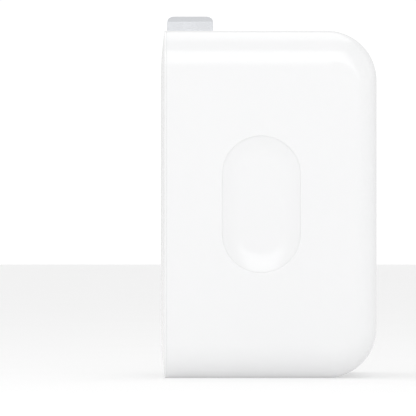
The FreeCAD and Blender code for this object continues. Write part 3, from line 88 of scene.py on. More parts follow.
def soft_box(name, place, size, power):
    """A white rectangular light at a place, turned towards the adapter. It isn't seen itself."""
    data = bpy.data.lights.new(name, "AREA")
    data.shape = "RECTANGLE"
    data.size, data.size_y = size
    data.energy = power
    lamp = bpy.data.objects.new(name, data)
    lamp.location = place
    lamp.rotation_euler = (LIGHT_AIM - Vector(place)).to_track_quat("-Z", "Y").to_euler()
    lamp.visible_camera = False
    bpy.context.scene.collection.objects.link(lamp)


soft_box("side_soft_box", (0, -0.62, 0.34), (0.42, 0.52), 1.09)
soft_box("outlet_soft_box", (0.72, 0.05, 0.42), (0.42, 0.5), 0.2)
soft_box("wall_soft_box", (-0.72, 0.05, 0.42), (0.42, 0.5), 0.66)

# As a light the sky fades a little from the horizon up to the zenith. Seen directly, it is an even white.
SKY_HORIZON, SKY_ZENITH, SKY_SEEN = 0.8, 0.74, 1.05

sky = bpy.data.worlds.new("studio_sky")
sky.use_nodes = True
sky_nodes, sky_links = sky.node_tree.nodes, sky.node_tree.links
sky_glow = sky_nodes["Background"]
seen = sky_nodes.new("ShaderNodeLightPath")
towards = sky_nodes.new("ShaderNodeTexCoord")
upward = sky_nodes.new("ShaderNodeSeparateXYZ")
falling = sky_nodes.new("ShaderNodeMapRange")
level = sky_nodes.new("ShaderNodeMapRange")
falling.inputs["To Min"].default_value = SKY_HORIZON
falling.inputs["To Max"].default_value = SKY_ZENITH
level.inputs["To Max"].default_value = SKY_SEEN
sky_links.new(towards.outputs["Generated"], upward.inputs[0])
sky_links.new(upward.outputs["Z"], falling.inputs["Value"])
sky_links.new(falling.outputs["Result"], level.inputs["To Min"])
sky_links.new(seen.outputs["Is Camera Ray"], level.inputs["Value"])
sky_links.new(level.outputs["Result"], sky_glow.inputs["Strength"])
sky_glow.inputs["Color"].default_value = (1, 1, 1, 1)
bpy.context.scene.world = sky

OVERHEAD_STRENGTH, OVERHEAD_SPREAD, OVERHEAD_LEAN = 0.44, 50, -26

overhead_data = bpy.data.lights.new("overhead_light", "SUN")
overhead_data.energy = OVERHEAD_STRENGTH
overhead_data.angle = np.radians(OVERHEAD_SPREAD)
overhead = bpy.data.objects.new("overhead_light", overhead_data)
overhead.rotation_euler = (np.radians(OVERHEAD_LEAN), 0, 0)
bpy.context.scene.collection.objects.link(overhead)


# ---------------------------------------------------------------- moulded plastic
# The case parts are injection-moulded polycarbonate: glossy, with a very fine orange peel and hardly any
# change of colour. Every other finish in the adapter shares the same grain, at its own scale.


def socket_group(name, inputs, outputs):
    """An empty shader node group with named inputs (label, type, value) and outputs (label, type)."""
    tree = bpy.data.node_groups.new(name, "ShaderNodeTree")
    for label, kind, start in inputs:
        made = tree.interface.new_socket(label, in_out="INPUT", socket_type=kind)
        if start is not None:
            made.default_value = start
    for label, kind in outputs:
        tree.interface.new_socket(label, in_out="OUTPUT", socket_type=kind)
    return tree, tree.nodes.new("NodeGroupInput"), tree.nodes.new("NodeGroupOutput")


COLOUR, NUMBER, PLACE = "NodeSocketColor", "NodeSocketFloat", "NodeSocketVector"
BROAD_TIMES = 14.0
FINE_DETAIL, BROAD_DETAIL = 3.0, 4.0
PATCH_FROM, PATCH_TO = 0.3, 0.7
# A colour mix node's two colours and its result have the same labels as its numbers, so they go by place.
MIX_SHARE, MIX_BASE, MIX_SHADE, MIX_RESULT = 0, 6, 7, 2


def build_grain():
    """Fine grain and broad patches: both are noise, the broad one several times coarser.

    The colour leans from Base to Shade with the broad noise, the roughness swings by Swing about its
    middle with both, and the height is the fine noise.
    """
    tree, source, sink = socket_group(
        "material_grain",
        [("Place", PLACE, None), ("Per Metre", NUMBER, 1000.0), ("Base", COLOUR, None),
         ("Shade", COLOUR, None), ("Roughness", NUMBER, 0.4), ("Swing", NUMBER, 0.1)],
        [("Colour", COLOUR), ("Roughness", NUMBER), ("Height", NUMBER)],
    )
    nodes, links = tree.nodes, tree.links
    fine, broad = nodes.new("ShaderNodeTexNoise"), nodes.new("ShaderNodeTexNoise")
    coarser = nodes.new("ShaderNodeMath")
    coarser.operation = "DIVIDE"
    coarser.inputs[1].default_value = BROAD_TIMES
    fine.inputs["Detail"].default_value = FINE_DETAIL
    broad.inputs["Detail"].default_value = BROAD_DETAIL
    links.new(source.outputs["Place"], fine.inputs["Vector"])
    links.new(source.outputs["Place"], broad.inputs["Vector"])
    links.new(source.outputs["Per Metre"], fine.inputs["Scale"])
    links.new(source.outputs["Per Metre"], coarser.inputs[0])
    links.new(coarser.outputs[0], broad.inputs["Scale"])
    patch = nodes.new("ShaderNodeMapRange")
    patch.inputs["From Min"].default_value = PATCH_FROM
    patch.inputs["From Max"].default_value = PATCH_TO
    links.new(broad.outputs["Fac"], patch.inputs["Value"])
    blend = nodes.new("ShaderNodeMix")
    blend.data_type = "RGBA"
    links.new(patch.outputs["Result"], blend.inputs[MIX_SHARE])
    links.new(source.outputs["Base"], blend.inputs[MIX_BASE])
    links.new(source.outputs["Shade"], blend.inputs[MIX_SHADE])
    links.new(blend.outputs[MIX_RESULT], sink.inputs["Colour"])
    both = nodes.new("ShaderNodeMath")
    both.operation = "ADD"
    links.new(fine.outputs["Fac"], both.inputs[0])
    links.new(patch.outputs["Result"], both.inputs[1])
    centred = nodes.new("ShaderNodeMath")
    centred.operation = "SUBTRACT"
    centred.inputs[1].default_value = 1.0
    links.new(both.outputs[0], centred.inputs[0])
    swung = nodes.new("ShaderNodeMath")
    swung.operation = "MULTIPLY_ADD"
    links.new(centred.outputs[0], swung.inputs[0])
    links.new(source.outputs["Swing"], swung.inputs[1])
    links.new(source.outputs["Roughness"], swung.inputs[2])
    links.new(swung.outputs[0], sink.inputs["Roughness"])
    links.new(fine.outputs["Fac"], sink.inputs["Height"])
    return tree


GRAIN = build_grain()


def finish(name, base, shade, per_metre, roughness, swing, relief, metallic=0.0, drawn=None, **others):
    """A Principled material with grain: colours as linear RGB, relief as the grain's height in metres.

    drawn squeezes the grain by a factor along each axis, so that a small one gives lines along that axis.
    others are further values of the shader, with _ for a space in their labels.
    """
    material = bpy.data.materials.new(name)
    material.use_nodes = True
    nodes, links = material.node_tree.nodes, material.node_tree.links
    shader = nodes["Principled BSDF"]
    place = nodes.new("ShaderNodeTexCoord")
    place.name = "place"
    grain = nodes.new("ShaderNodeGroup")
    grain.node_tree = GRAIN
    where = place.outputs["Object"]
    if drawn:
        squeeze = nodes.new("ShaderNodeMapping")
        squeeze.inputs["Scale"].default_value = drawn
        links.new(where, squeeze.inputs["Vector"])
        where = squeeze.outputs["Vector"]
    links.new(where, grain.inputs["Place"])
    grain.inputs["Per Metre"].default_value = per_metre
    grain.inputs["Base"].default_value = (*base, 1)
    grain.inputs["Shade"].default_value = (*shade, 1)
    grain.inputs["Roughness"].default_value = roughness
    grain.inputs["Swing"].default_value = swing
    bump = nodes.new("ShaderNodeBump")
    bump.name = "relief"
    bump.inputs["Distance"].default_value = relief
    links.new(grain.outputs["Height"], bump.inputs["Height"])
    links.new(grain.outputs["Colour"], shader.inputs["Base Color"])
    links.new(grain.outputs["Roughness"], shader.inputs["Roughness"])
    links.new(bump.outputs["Normal"], shader.inputs["Normal"])
    shader.inputs["Metallic"].default_value = metallic
    for label, number in others.items():
        shader.inputs[label.replace("_", " ")].default_value = number
    return material


WHITE, WHITE_SHADE = (0.88, 0.882, 0.886), (0.872, 0.874, 0.879)
white_case = finish("white_case", WHITE, WHITE_SHADE, 1100, 0.21, 0.02, 1.2e-6, Specular_IOR_Level=0.6)


# ---------------------------------------------------------------- housing
# One polycarbonate moulding with five walls: the standing face, the outlet face, the top and two sides.
# It has round corners, a finger dish in each side, two outlet mouths, two notches that the folded blades
# lie in, and two ledges inside that the main board rests on.

WALL = 2.0 * MM
PROFILE_RADIUS = 6.8 * MM
SIDE_RADIUS = 4.7 * MM
FRONT_RADIUS = 2.6 * MM
LEAST_INNER_RADIUS = 1.2 * MM
HALF_WIDTH, HEIGHT = case_high.y, case_high.z
SEAM, FRONT = case_low.x, case_high.x
MIDDLE = HEIGHT / 2

blade_low, blade_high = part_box("neutral_blade")
SLOT_GAP = 0.3 * MM
SLOT_SIDE = (blade_low.y - SLOT_GAP, blade_high.y + SLOT_GAP)
SLOT_FLOOR = blade_high.x + SLOT_GAP

shell_low, shell_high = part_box("right_outlet_shell")
MOUTH_SIDE = (shell_low.y + shell_high.y) / 2
MOUTH_GAP = 0.13 * MM
MOUTH_HALF = (shell_high.y - shell_low.y) / 2 + MOUTH_GAP
MOUTH_RADIUS = (shell_high.z - shell_low.z) / 2 + MOUTH_GAP
PATCH_SIDE = (2.5 * MM, 16.5 * MM)
PATCH_HALF_HEIGHT = 5.0 * MM

DISH_MIDDLE = -1.0 * MM
DISH_RADIUS = 5.4 * MM
DISH_STRAIGHT = 4.0 * MM
DISH_DEPTH = 0.75 * MM
DISH_STEP, STEP_RUN = 0.1 * MM, 0.13 * MM
DISH_SLOPE = 3.0 * MM
DISH_RIM_ROUND = 0.5 * MM
RIM_CLEAR = 0.125 * MM
# A narrow strip beside the rim of each dish and mouth keeps the shading there even.
GUARD = 0.35 * MM

# Every edge sharper than SHARP degrees gets a small round. Points within MERGE_GAP of each other are one.
HOUSING_EASE = 0.024 * MM
EASE_SEGMENTS = 2
SHARP = 40.0
MERGE_GAP = 1e-6
TINY = 1e-9


def surface(name, patches):
    """One mesh from grids of points (rows, columns, 3), each with a mask of the cells it keeps or None.

    Every kept cell becomes a quad. Points that neighbouring grids share are merged, and the faces of
    each closed shell are turned outwards.
    """
    points, quads, start = [], [], 0
    for grid, kept in patches:
        rows, columns = grid.shape[:2]
        number = start + np.arange(rows * columns).reshape(rows, columns)
        corners = (number[:-1, :-1], number[1:, :-1], number[1:, 1:], number[:-1, 1:])
        cell = np.stack(corners, axis=-1)
        quads.append(cell.reshape(-1, 4) if kept is None else cell[kept])
        points.append(grid.reshape(-1, 3))
        start += rows * columns
    return skin(name, np.concatenate(points), np.concatenate(quads))


def skin(name, points, quads):
    """The object made of these points and quads, merged and turned outwards."""
    used, quads = np.unique(quads, return_inverse=True)
    quads = quads.reshape(-1, 4)
    mesh = bpy.data.meshes.new(name)
    mesh.vertices.add(len(used))
    mesh.vertices.foreach_set("co", points[used].astype(np.float32).ravel())
    mesh.loops.add(quads.size)
    mesh.loops.foreach_set("vertex_index", quads.astype(np.int32).ravel())
    mesh.polygons.add(len(quads))
    mesh.polygons.foreach_set("loop_start", np.arange(0, quads.size, 4, dtype=np.int32))
    mesh.update(calc_edges=True)
    shaped = bmesh.new()
    shaped.from_mesh(mesh)
    bmesh.ops.remove_doubles(shaped, verts=shaped.verts, dist=MERGE_GAP)
    bmesh.ops.recalc_face_normals(shaped, faces=shaped.faces)
    shaped.to_mesh(mesh)
    shaped.free()
    mesh.shade_smooth()
    made = bpy.data.objects.new(name, mesh)
    bpy.context.scene.collection.objects.link(made)
    return made


def eased(piece, width, angle=SHARP):
    """Breaks every edge sharper than the angle, in degrees, with a small round. Flat faces stay flat."""
    bevel = piece.modifiers.new("eased_edges", "BEVEL")
    bevel.width = width
    bevel.segments = EASE_SEGMENTS
    bevel.limit_method = "ANGLE"
    bevel.angle_limit = np.radians(angle)
    bevel.harden_normals = True
    return piece


def steps(*stops):
    """Numbers from the first stop on: each (end, count) adds count equal steps up to that end."""
    out = [np.array([stops[0]])]
    for end, count in stops[1:]:
        out.append(np.linspace(out[-1][-1], end, count + 1)[1:])
    return np.concatenate(out)


ALONG = steps(SEAM, (SLOT_FLOOR, 7), (FRONT - PROFILE_RADIUS, 15))
UP = steps(
    PROFILE_RADIUS, (MIDDLE - PATCH_HALF_HEIGHT, 12), (MIDDLE + PATCH_HALF_HEIGHT, 20),
    (HEIGHT - PROFILE_RADIUS, 12),
)
CORNER_STEPS, EDGE_STEPS, REAR_STEPS = 20, 16, 36
FLAT_HALF_ACROSS = 24.0 * MM
HALF_ACROSS = steps(
    0.0, (PATCH_SIDE[0], 4), (SLOT_SIDE[0], 6), (SLOT_SIDE[1], 4), (PATCH_SIDE[1], 18),
    (FLAT_HALF_ACROSS, 10),
)
ACROSS = np.concatenate([-HALF_ACROSS[:0:-1], HALF_ACROSS])
REAR_UP = np.linspace(SIDE_RADIUS, HEIGHT - SIDE_RADIUS, REAR_STEPS + 1)


def case_profile(inset):
    """The case seen from the side: along the bottom, up the outlet face and back along the top.

    Straight runs joined by quarter turns, brought in by the inset. Gives X, Z, the outward direction and
    the radius of the side edge, which changes evenly round each quarter turn.
    """
    turn = np.linspace(-np.pi / 2, 0, CORNER_STEPS + 1)
    radius, hub_x = PROFILE_RADIUS - inset, FRONT - PROFILE_RADIUS
    lower = (hub_x + radius * np.cos(turn), PROFILE_RADIUS + radius * np.sin(turn))
    x = [ALONG, lower[0][1:], np.full(len(UP) - 1, FRONT - inset)]
    z = [np.full(len(ALONG), inset), lower[1][1:], UP[1:]]
    x += [lower[0][-2::-1], ALONG[-2::-1]]
    z += [HEIGHT - lower[1][-2::-1], np.full(len(ALONG) - 1, HEIGHT - inset)]
    angle = [np.full(len(ALONG), -np.pi / 2), turn[1:], np.zeros(len(UP) - 1)]
    angle += [-turn[-2::-1], np.full(len(ALONG) - 1, np.pi / 2)]
    angle = np.concatenate(angle)
    side = SIDE_RADIUS + (FRONT_RADIUS - SIDE_RADIUS) * (1 - np.abs(angle) / (np.pi / 2))
    side = np.maximum(side - inset, LEAST_INNER_RADIUS if inset else 0.0)
    return np.concatenate(x), np.concatenate(z), np.cos(angle), np.sin(angle), side


def case_wrap(inset):
    """The band that the profile sweeps across the case, with a quarter-round edge on each side.

    At edge angle a from the side face the point lies radius * (1 - cos a) inside the side face and
    radius * (1 - sin a) inside the profile. The first and last columns lie in the side faces.
    """
    x, z, out_x, out_z, side = (row[:, None] for row in case_profile(inset))
    edge = np.linspace(0, np.pi / 2, EDGE_STEPS + 1)[None, :]
    half = HALF_WIDTH - inset
    left_y, drop = -half + side * (1 - np.cos(edge)), side * (1 - np.sin(edge))
    flat_y = np.broadcast_to(ACROSS, (len(x), len(ACROSS)))
    y = np.concatenate([left_y, flat_y, -left_y[:, ::-1]], axis=1)
    drop = np.concatenate([drop, np.zeros_like(flat_y), drop[:, ::-1]], axis=1)
    return np.stack([x - out_x * drop, y, z - out_z * drop], axis=-1)


def oblong(straight, radius, share):
    """A long hole with two straight sides and two half turns, run round once as share goes from 0 to 1.

    It starts in the middle of a straight side. Gives the place along the hole's spine and the angle at
    which the edge stands off from it, so that rings of any radius line up.
    """
    ends = np.cumsum([0, straight, np.pi * radius, 2 * straight, np.pi * radius, straight])
    at = share * ends[-1]
    spine = np.interp(at, ends, [0, straight, straight, -straight, -straight, 0])
    return spine, np.interp(at, ends, [0, 0, np.pi, np.pi, 2 * np.pi, 2 * np.pi])


def side_loop(wrap, column, y):
    """Closed loop round a side face: up the outlet end, back over the top, down the rear, and forward."""
    edge = wrap[:, column]
    middle = len(edge) // 2
    rear = np.stack([np.full(REAR_STEPS - 1, SEAM), np.full(REAR_STEPS - 1, y), REAR_UP[-2:0:-1]], axis=-1)
    return np.concatenate([edge[middle:], rear, edge[: middle + 1]])


def drawn_in(loop, amount, centre):
    """A planar loop moved towards a centre by an amount, along each point's own direction."""
    away = loop - centre
    return loop - away / np.linalg.norm(away, axis=1, keepdims=True) * amount


def dish_depth(run):
    """Depth of the dish at a run inwards from its rim: a small round and step, then a hollow arc.

    The arc has its lowest point where the flat floor starts. The step eases in and out along its run.
    Negative runs are on the side face.
    """
    deep = DISH_DEPTH - DISH_STEP
    arc = (DISH_SLOPE**2 + deep**2) / (2 * deep)
    hollow = deep - (arc - np.sqrt(arc**2 - np.clip(DISH_SLOPE - run, 0, DISH_SLOPE) ** 2))
    lean = np.arcsin(DISH_SLOPE / arc)
    reach = DISH_RIM_ROUND * np.tan(lean / 2)
    over = DISH_RIM_ROUND - np.sqrt(np.maximum(DISH_RIM_ROUND**2 - np.clip(run + reach, 0, None) ** 2, 0))
    part = np.clip(run / STEP_RUN, 0, 1)
    step = DISH_STEP * part**2 * (3 - 2 * part)
    inside_rim = np.where(run < reach * np.cos(lean), over, np.maximum(hollow, 0))
    return step + np.where(run < -reach, 0.0, inside_rim)


def side_face(wrap, column, side):
    """A side face: flat from the edge round to the dish, then the dish's rings and its flat floor."""
    y = side * HALF_WIDTH
    loop = side_loop(wrap, column, y)
    centre = np.array([DISH_MIDDLE, y, MIDDLE])
    share = np.linspace(0, 1, len(loop))
    spine, angle = oblong(DISH_STRAIGHT, DISH_RADIUS, share)
    runs = steps(-GUARD, (-RIM_CLEAR, 1), (STEP_RUN, 9), (DISH_SLOPE, 16), (DISH_SLOPE + GUARD, 1))
    radius = (DISH_RADIUS - runs)[:, None]
    x = DISH_MIDDLE + radius * np.cos(angle)
    z = MIDDLE + spine + radius * np.sin(angle)
    deep = np.broadcast_to(side * (HALF_WIDTH - dish_depth(runs)[:, None]), x.shape)
    rings = np.stack([x, deep, z], axis=-1)
    flat = np.stack([loop, drawn_in(loop, GUARD, centre), rings[0]])
    half = len(loop) // 2
    floor = np.stack([rings[-1][: half + 1], rings[-1][: half - 1 : -1]])
    return [(flat, None), (rings, None), (floor, None)]


def mouth(side, face_x, back_x):
    """An outlet mouth: from a rectangle on the wall's face in to the long hole, through it, and back out.

    Rings of equal count are joined one to the next: the rectangle's rim, a ring a little wider than the
    hole and the hole's own edge at the face, and the same three in reverse at the back of the wall.
    """
    ys = HALF_ACROSS[(HALF_ACROSS >= PATCH_SIDE[0] - TINY) & (HALF_ACROSS <= PATCH_SIDE[1] + TINY)]
    zs = UP[(UP >= MIDDLE - PATCH_HALF_HEIGHT - TINY) & (UP <= MIDDLE + PATCH_HALF_HEIGHT + TINY)]
    mid = len(zs) // 2
    edge_y = np.concatenate([
        np.full(mid, ys[-1]), ys[::-1], np.full(len(zs) - 2, ys[0]), ys, np.full(mid, ys[-1])])
    edge_z = np.concatenate([
        zs[mid:0:-1], np.full(len(ys), zs[0]), zs[1:-1], np.full(len(ys), zs[-1]), zs[-2 : mid - 1 : -1]])
    share = np.linspace(0, 1, len(edge_y))
    straight = MOUTH_HALF - MOUTH_RADIUS
    quarter = (share + 0.25) % 1.0
    spine, angle = oblong(straight, MOUTH_RADIUS, quarter)

    def ring(x, radius):
        """The long hole's outline at a radius from its spine."""
        y = MOUTH_SIDE + spine + radius * np.sin(angle)
        return np.stack([np.full(len(y), x), y, MIDDLE + radius * np.cos(angle)], axis=-1)

    rims = [np.stack([np.full(len(edge_y), x), edge_y, edge_z], axis=-1) for x in (face_x, back_x)]
    wide = MOUTH_RADIUS + GUARD
    grid = np.stack([rims[0], ring(face_x, wide), ring(face_x, MOUTH_RADIUS), ring(back_x, MOUTH_RADIUS),
                     ring(back_x, wide), rims[1]])
    return grid * np.array([1, side, 1])


def cell_centres(values):
    """The middle of each step between neighbouring values."""
    return (values[:-1] + values[1:]) / 2


def block_patches(low, high):
    """The six faces of a box as small grids."""
    corner = np.array(low), np.array(high)
    out = []
    for axis in range(3):
        for end in corner:
            grid = np.empty((2, 2, 3))
            grid[..., axis] = end[axis]
            grid[..., (axis + 1) % 3] = [[corner[0][(axis + 1) % 3]] * 2, [corner[1][(axis + 1) % 3]] * 2]
            grid[..., (axis + 2) % 3] = [[corner[0][(axis + 2) % 3], corner[1][(axis + 2) % 3]]] * 2
            out.append((grid, None))
    return out


outer, inner = case_wrap(0.0), case_wrap(WALL)
row_x, row_z, row_out, row_up, _ = case_profile(0.0)
cell_x, cell_z = cell_centres(row_x), cell_centres(row_z)
on_front = (np.abs(cell_centres(row_out) - 1) < TINY) & (np.abs(cell_z - MIDDLE) < PATCH_HALF_HEIGHT)
on_notch = (cell_centres(row_up) > 1 - TINY) & (cell_x < SLOT_FLOOR)
cell_y = np.abs(cell_centres(outer[0, :, 1]))
in_patch = (cell_y > PATCH_SIDE[0]) & (cell_y < PATCH_SIDE[1])
in_slot = (cell_y > SLOT_SIDE[0]) & (cell_y < SLOT_SIDE[1])
kept = ~(on_front[:, None] & in_patch[None, :]) & ~(on_notch[:, None] & in_slot[None, :])

patches = [(outer, kept), (inner, kept)]
for side, column in ((-1, 0), (1, -1)):
    patches += side_face(outer, column, side)
    inner_loop = side_loop(inner, column, side * (HALF_WIDTH - WALL))
    half_loop = len(inner_loop) // 2
    patches.append((np.stack([inner_loop[: half_loop + 1], inner_loop[: half_loop - 1 : -1]]), None))
    patches.append((mouth(side, FRONT, FRONT - WALL), None))
    rear = [np.stack([np.full(REAR_STEPS + 1, SEAM), np.full(REAR_STEPS + 1, side * y), REAR_UP], axis=-1)
            for y in (HALF_WIDTH, HALF_WIDTH - WALL)]
    patches.append((np.stack(rear), None))
patches.append((np.stack([outer[0], inner[0]]), None))
patches.append((np.stack([outer[-1], inner[-1]]), ~in_slot[None, :]))
top_rows = np.flatnonzero(on_notch)[0]
for side in (-1, 1):
    columns = [int(np.argmin(np.abs(outer[0, :, 1] - side * y))) for y in SLOT_SIDE]
    for column in columns:
        wall = np.stack([outer[top_rows:, column], inner[top_rows:, column]])
        patches.append((wall, None))
    first, last = sorted(columns)
    notch_end = slice(first, last + 1)
    patches.append((np.stack([outer[top_rows, notch_end], inner[top_rows, notch_end]]), None))

LEDGE_X = (-7.6 * MM, 2.4 * MM)
LEDGE_SIDE = (23.3 * MM, 24.9 * MM)
LEDGE_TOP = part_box("main_board")[0].z
for side in (-1, 1):
    ends = sorted(side * y for y in LEDGE_SIDE)
    patches += block_patches((LEDGE_X[0], ends[0], WALL / 2), (LEDGE_X[1], ends[1], LEDGE_TOP))

housing = eased(surface("case_housing", patches), HOUSING_EASE)
housing.data.materials.append(white_case)
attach(housing, "adapter")
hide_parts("housing")


# ---------------------------------------------------------------- rear cover
# The wall-side cover is a second moulding of the same plastic, held in the housing by a skirt. Its face
# bulges very slightly. A window shows the barrel of the plug, and two channels take the folded blades.

CROWN_RISE = 0.53 * MM
CROWN_REACH = 6.5 * MM
CREST_SHRINK = 0.2
COVER_THICKNESS = 2.0 * MM
HAIRLINE = 0.004 * MM
SKIRT_INSET, SKIRT_INNER, SKIRT_LENGTH = 2.1 * MM, 3.3 * MM, 2.3 * MM
WINDOW_SIDE, WINDOW_HALF_HEIGHT = 11.2 * MM, 3.45 * MM
CHANNEL_WALL, CHANNEL_LOW_END = 1.0 * MM, 5.3 * MM
RIB_OUTER, RIB_HALF_HEIGHT = 13.2 * MM, 4.5 * MM
JOURNAL_SEAT = 1.53 * MM
BOSS_RADIUS, PILOT_RADIUS, PILOT_FLOOR = 2.1 * MM, 0.8 * MM, 0.1 * MM
SCREW_SIDE, SCREW_UP, SCREW_DOWN = 11.6 * MM, 7.4 * MM, 8.6 * MM
COVER_EASE, BOSS_EASE = 0.022 * MM, 0.1 * MM

cover_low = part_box("rear_cover")[0]
PIVOT_X, _, PIVOT_Z = frame["joints"][0]["pos_m"]
EDGE_PLANE = cover_low.x + CROWN_RISE
PLATE_INNER = cover_low.x + COVER_THICKNESS


def rounded_place(y, z):
    """Turns a square lattice into the case outline: each corner square becomes a quarter disc.

    In a corner square the larger of the two distances from its inner corner becomes the distance from
    the disc's centre, and the ratio of the two becomes the angle.
    """
    side, up = np.sign(y), np.sign(z - MIDDLE)
    hub_y, hub_z = HALF_WIDTH - SIDE_RADIUS, MIDDLE - SIDE_RADIUS
    a, b = np.abs(y) - hub_y, np.abs(z - MIDDLE) - hub_z
    corner = (a > 0) & (b > 0)
    far, near = np.maximum(a, b), np.minimum(a, b)
    lean = np.pi / 4 * near / np.where(corner, far, 1.0)
    angle = np.where(a >= b, lean, np.pi / 2 - lean)
    a = np.where(corner, far * np.cos(angle), a)
    b = np.where(corner, far * np.sin(angle), b)
    return side * (hub_y + a), MIDDLE + up * (hub_z + b), a, b


def crown_inset(a, b):
    """How far a point lies inside the outline, measured by outlines whose corners shrink as they step in.

    An outline brought in by i has its corner centres i * pace further in and a radius less by i * loss,
    so i solves a quadratic in the corners and is the plain distance along the sides.
    """
    loss = CREST_SHRINK * SIDE_RADIUS / CROWN_REACH
    pace = 1 - loss
    square = 2 * pace**2 - loss**2
    linear = 2 * pace * (a + b) + 2 * SIDE_RADIUS * loss
    fixed = a**2 + b**2 - SIDE_RADIUS**2
    inset = (-linear + np.sqrt(np.maximum(linear**2 - 4 * square * fixed, 0))) / (2 * square)
    in_corner = (a + pace * inset > 0) & (b + pace * inset > 0)
    return np.where(in_corner, inset, np.minimum(SIDE_RADIUS - a, SIDE_RADIUS - b))


def cell_skin(name, filled, points):
    """The skin of the filled cells of a lattice: a quad wherever a filled cell meets an empty one."""
    number = np.arange(points[..., 0].size).reshape(points.shape[:3])
    quads = []
    for axis in range(3):
        cells, corners = np.moveaxis(filled, axis, 0), np.moveaxis(number, axis, 0)
        edge = np.zeros((1, *cells.shape[1:]), bool)
        changes = np.concatenate([cells, edge]) != np.concatenate([edge, cells])
        near, far = corners[:, :-1], corners[:, 1:]
        quad = np.stack([near[:, :, :-1], far[:, :, :-1], far[:, :, 1:], near[:, :, 1:]], axis=-1)
        quads.append(quad[changes])
    return skin(name, points.reshape(-1, 3), np.concatenate(quads))


FINER_FROM = 4.3 * MM
half_y = steps(
    0.0, (FINER_FROM, 5), (SLOT_SIDE[0], 2), (SLOT_SIDE[1], 4), (SLOT_SIDE[1] + CHANNEL_WALL, 2),
    (WINDOW_SIDE, 4), (RIB_OUTER, 3), (HALF_WIDTH - CROWN_REACH, 9), (HALF_WIDTH - SIDE_RADIUS, 4),
    (HALF_WIDTH - SKIRT_INNER, 3), (HALF_WIDTH - SKIRT_INSET, 3), (HALF_WIDTH, 6),
)
lattice_y = np.concatenate([-half_y[:0:-1], half_y])
lattice_z = steps(
    0.0, (SKIRT_INSET, 6), (SKIRT_INNER, 3), (SIDE_RADIUS, 3), (CROWN_REACH, 4),
    (PIVOT_Z - RIB_HALF_HEIGHT, 17), (PIVOT_Z - WINDOW_HALF_HEIGHT, 2), (PIVOT_Z - JOURNAL_SEAT, 3),
    (PIVOT_Z, 2), (PIVOT_Z + JOURNAL_SEAT, 2), (PIVOT_Z + WINDOW_HALF_HEIGHT, 3),
    (PIVOT_Z + RIB_HALF_HEIGHT, 2), (PIVOT_Z + CHANNEL_LOW_END, 1), (HEIGHT - CROWN_REACH, 8),
    (HEIGHT - SIDE_RADIUS, 4), (HEIGHT - SKIRT_INNER, 3), (HEIGHT - SKIRT_INSET, 3), (HEIGHT, 6),
)
square_y, square_z = np.meshgrid(lattice_y, lattice_z, indexing="ij")
round_y, round_z, corner_a, corner_b = rounded_place(square_y, square_z)
rise = 1 - np.clip(1 - crown_inset(corner_a, corner_b) / CROWN_REACH, 0, 1) ** 2
crown = (EDGE_PLANE - CROWN_RISE * rise)[..., None]
levels = [SEAM - HAIRLINE, PLATE_INNER, PIVOT_X - JOURNAL_SEAT, PIVOT_X, PLATE_INNER + SKIRT_LENGTH,
          SLOT_FLOOR, SLOT_FLOOR + CHANNEL_WALL]
depth = np.concatenate([crown, np.broadcast_to(levels, (*rise.shape, len(levels)))], axis=-1)
across, up = (np.broadcast_to(values[..., None], depth.shape) for values in (round_y, round_z))
lattice = np.stack([depth, across, up], axis=-1)

cy, cz = np.meshgrid(np.abs(cell_centres(lattice_y)), cell_centres(lattice_z), indexing="ij")


def inside(inset):
    """The cells that lie further inside the square outline than an inset."""
    return (cy < HALF_WIDTH - inset) & (cz > inset) & (cz < HEIGHT - inset)


above = cz - PIVOT_Z
window = (cy < WINDOW_SIDE) & (np.abs(above) < WINDOW_HALF_HEIGHT)
channel = (cy > SLOT_SIDE[0]) & (cy < SLOT_SIDE[1]) & (above > 0)
walls = (cy > SLOT_SIDE[0] - CHANNEL_WALL) & (cy < SLOT_SIDE[1] + CHANNEL_WALL) & (above > CHANNEL_LOW_END)
walls &= inside(SKIRT_INSET)
rib = (cy > WINDOW_SIDE) & (cy < RIB_OUTER) & (np.abs(above) < RIB_HALF_HEIGHT)
plate = inside(SKIRT_INSET) & ~window
skirt = inside(SKIRT_INSET) & ~inside(SKIRT_INNER)
seat = rib & (np.abs(above) < JOURNAL_SEAT)
# One layer of cells for each step between levels, from the crowned face inwards.
filled = np.stack([
    ~window & ~channel,
    plate & ~channel,
    (skirt | walls | rib) & ~channel,
    (skirt | walls | (rib & ~seat)) & ~channel,
    (skirt | walls) & ~channel,
    walls & ~channel,
    walls,
], axis=-1)
rear_cover = eased(cell_skin("case_rear_cover", filled, lattice), COVER_EASE)
rear_cover.data.materials.append(white_case)
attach(rear_cover, "adapter")
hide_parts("rear_cover")


def turned(stations, radii, count, centre, axis):
    """A profile of stations and radii turned about a line along an axis through a centre, as a grid."""
    angle = np.linspace(0, 2 * np.pi, count + 1)
    along = np.broadcast_to(np.asarray(stations)[:, None], (len(stations), count + 1))
    radii = np.broadcast_to(np.asarray(radii).reshape(len(stations), -1), along.shape)
    grid = np.empty((*along.shape, 3))
    grid[..., axis] = along
    grid[..., (axis + 1) % 3] = centre[0] + radii * np.cos(angle)
    grid[..., (axis + 2) % 3] = centre[1] + radii * np.sin(angle)
    return grid


SCREW_PLACES = [(side * SCREW_SIDE, PIVOT_Z + up) for side in (-1, 1) for up in (SCREW_UP, -SCREW_DOWN)]
boss_x = [PLATE_INNER - PILOT_FLOOR] * 2 + [PIVOT_X] * 2 + [PLATE_INNER + PILOT_FLOOR] * 2
boss_r = [0, BOSS_RADIUS, BOSS_RADIUS, PILOT_RADIUS, PILOT_RADIUS, 0]
BOSS_STEPS = 40
bosses = [(turned(boss_x, boss_r, BOSS_STEPS, place, 0), None) for place in SCREW_PLACES]
cover_bosses = eased(surface("cover_screw_bosses", bosses), BOSS_EASE)
cover_bosses.data.materials.append(white_case)
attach(cover_bosses, "adapter")


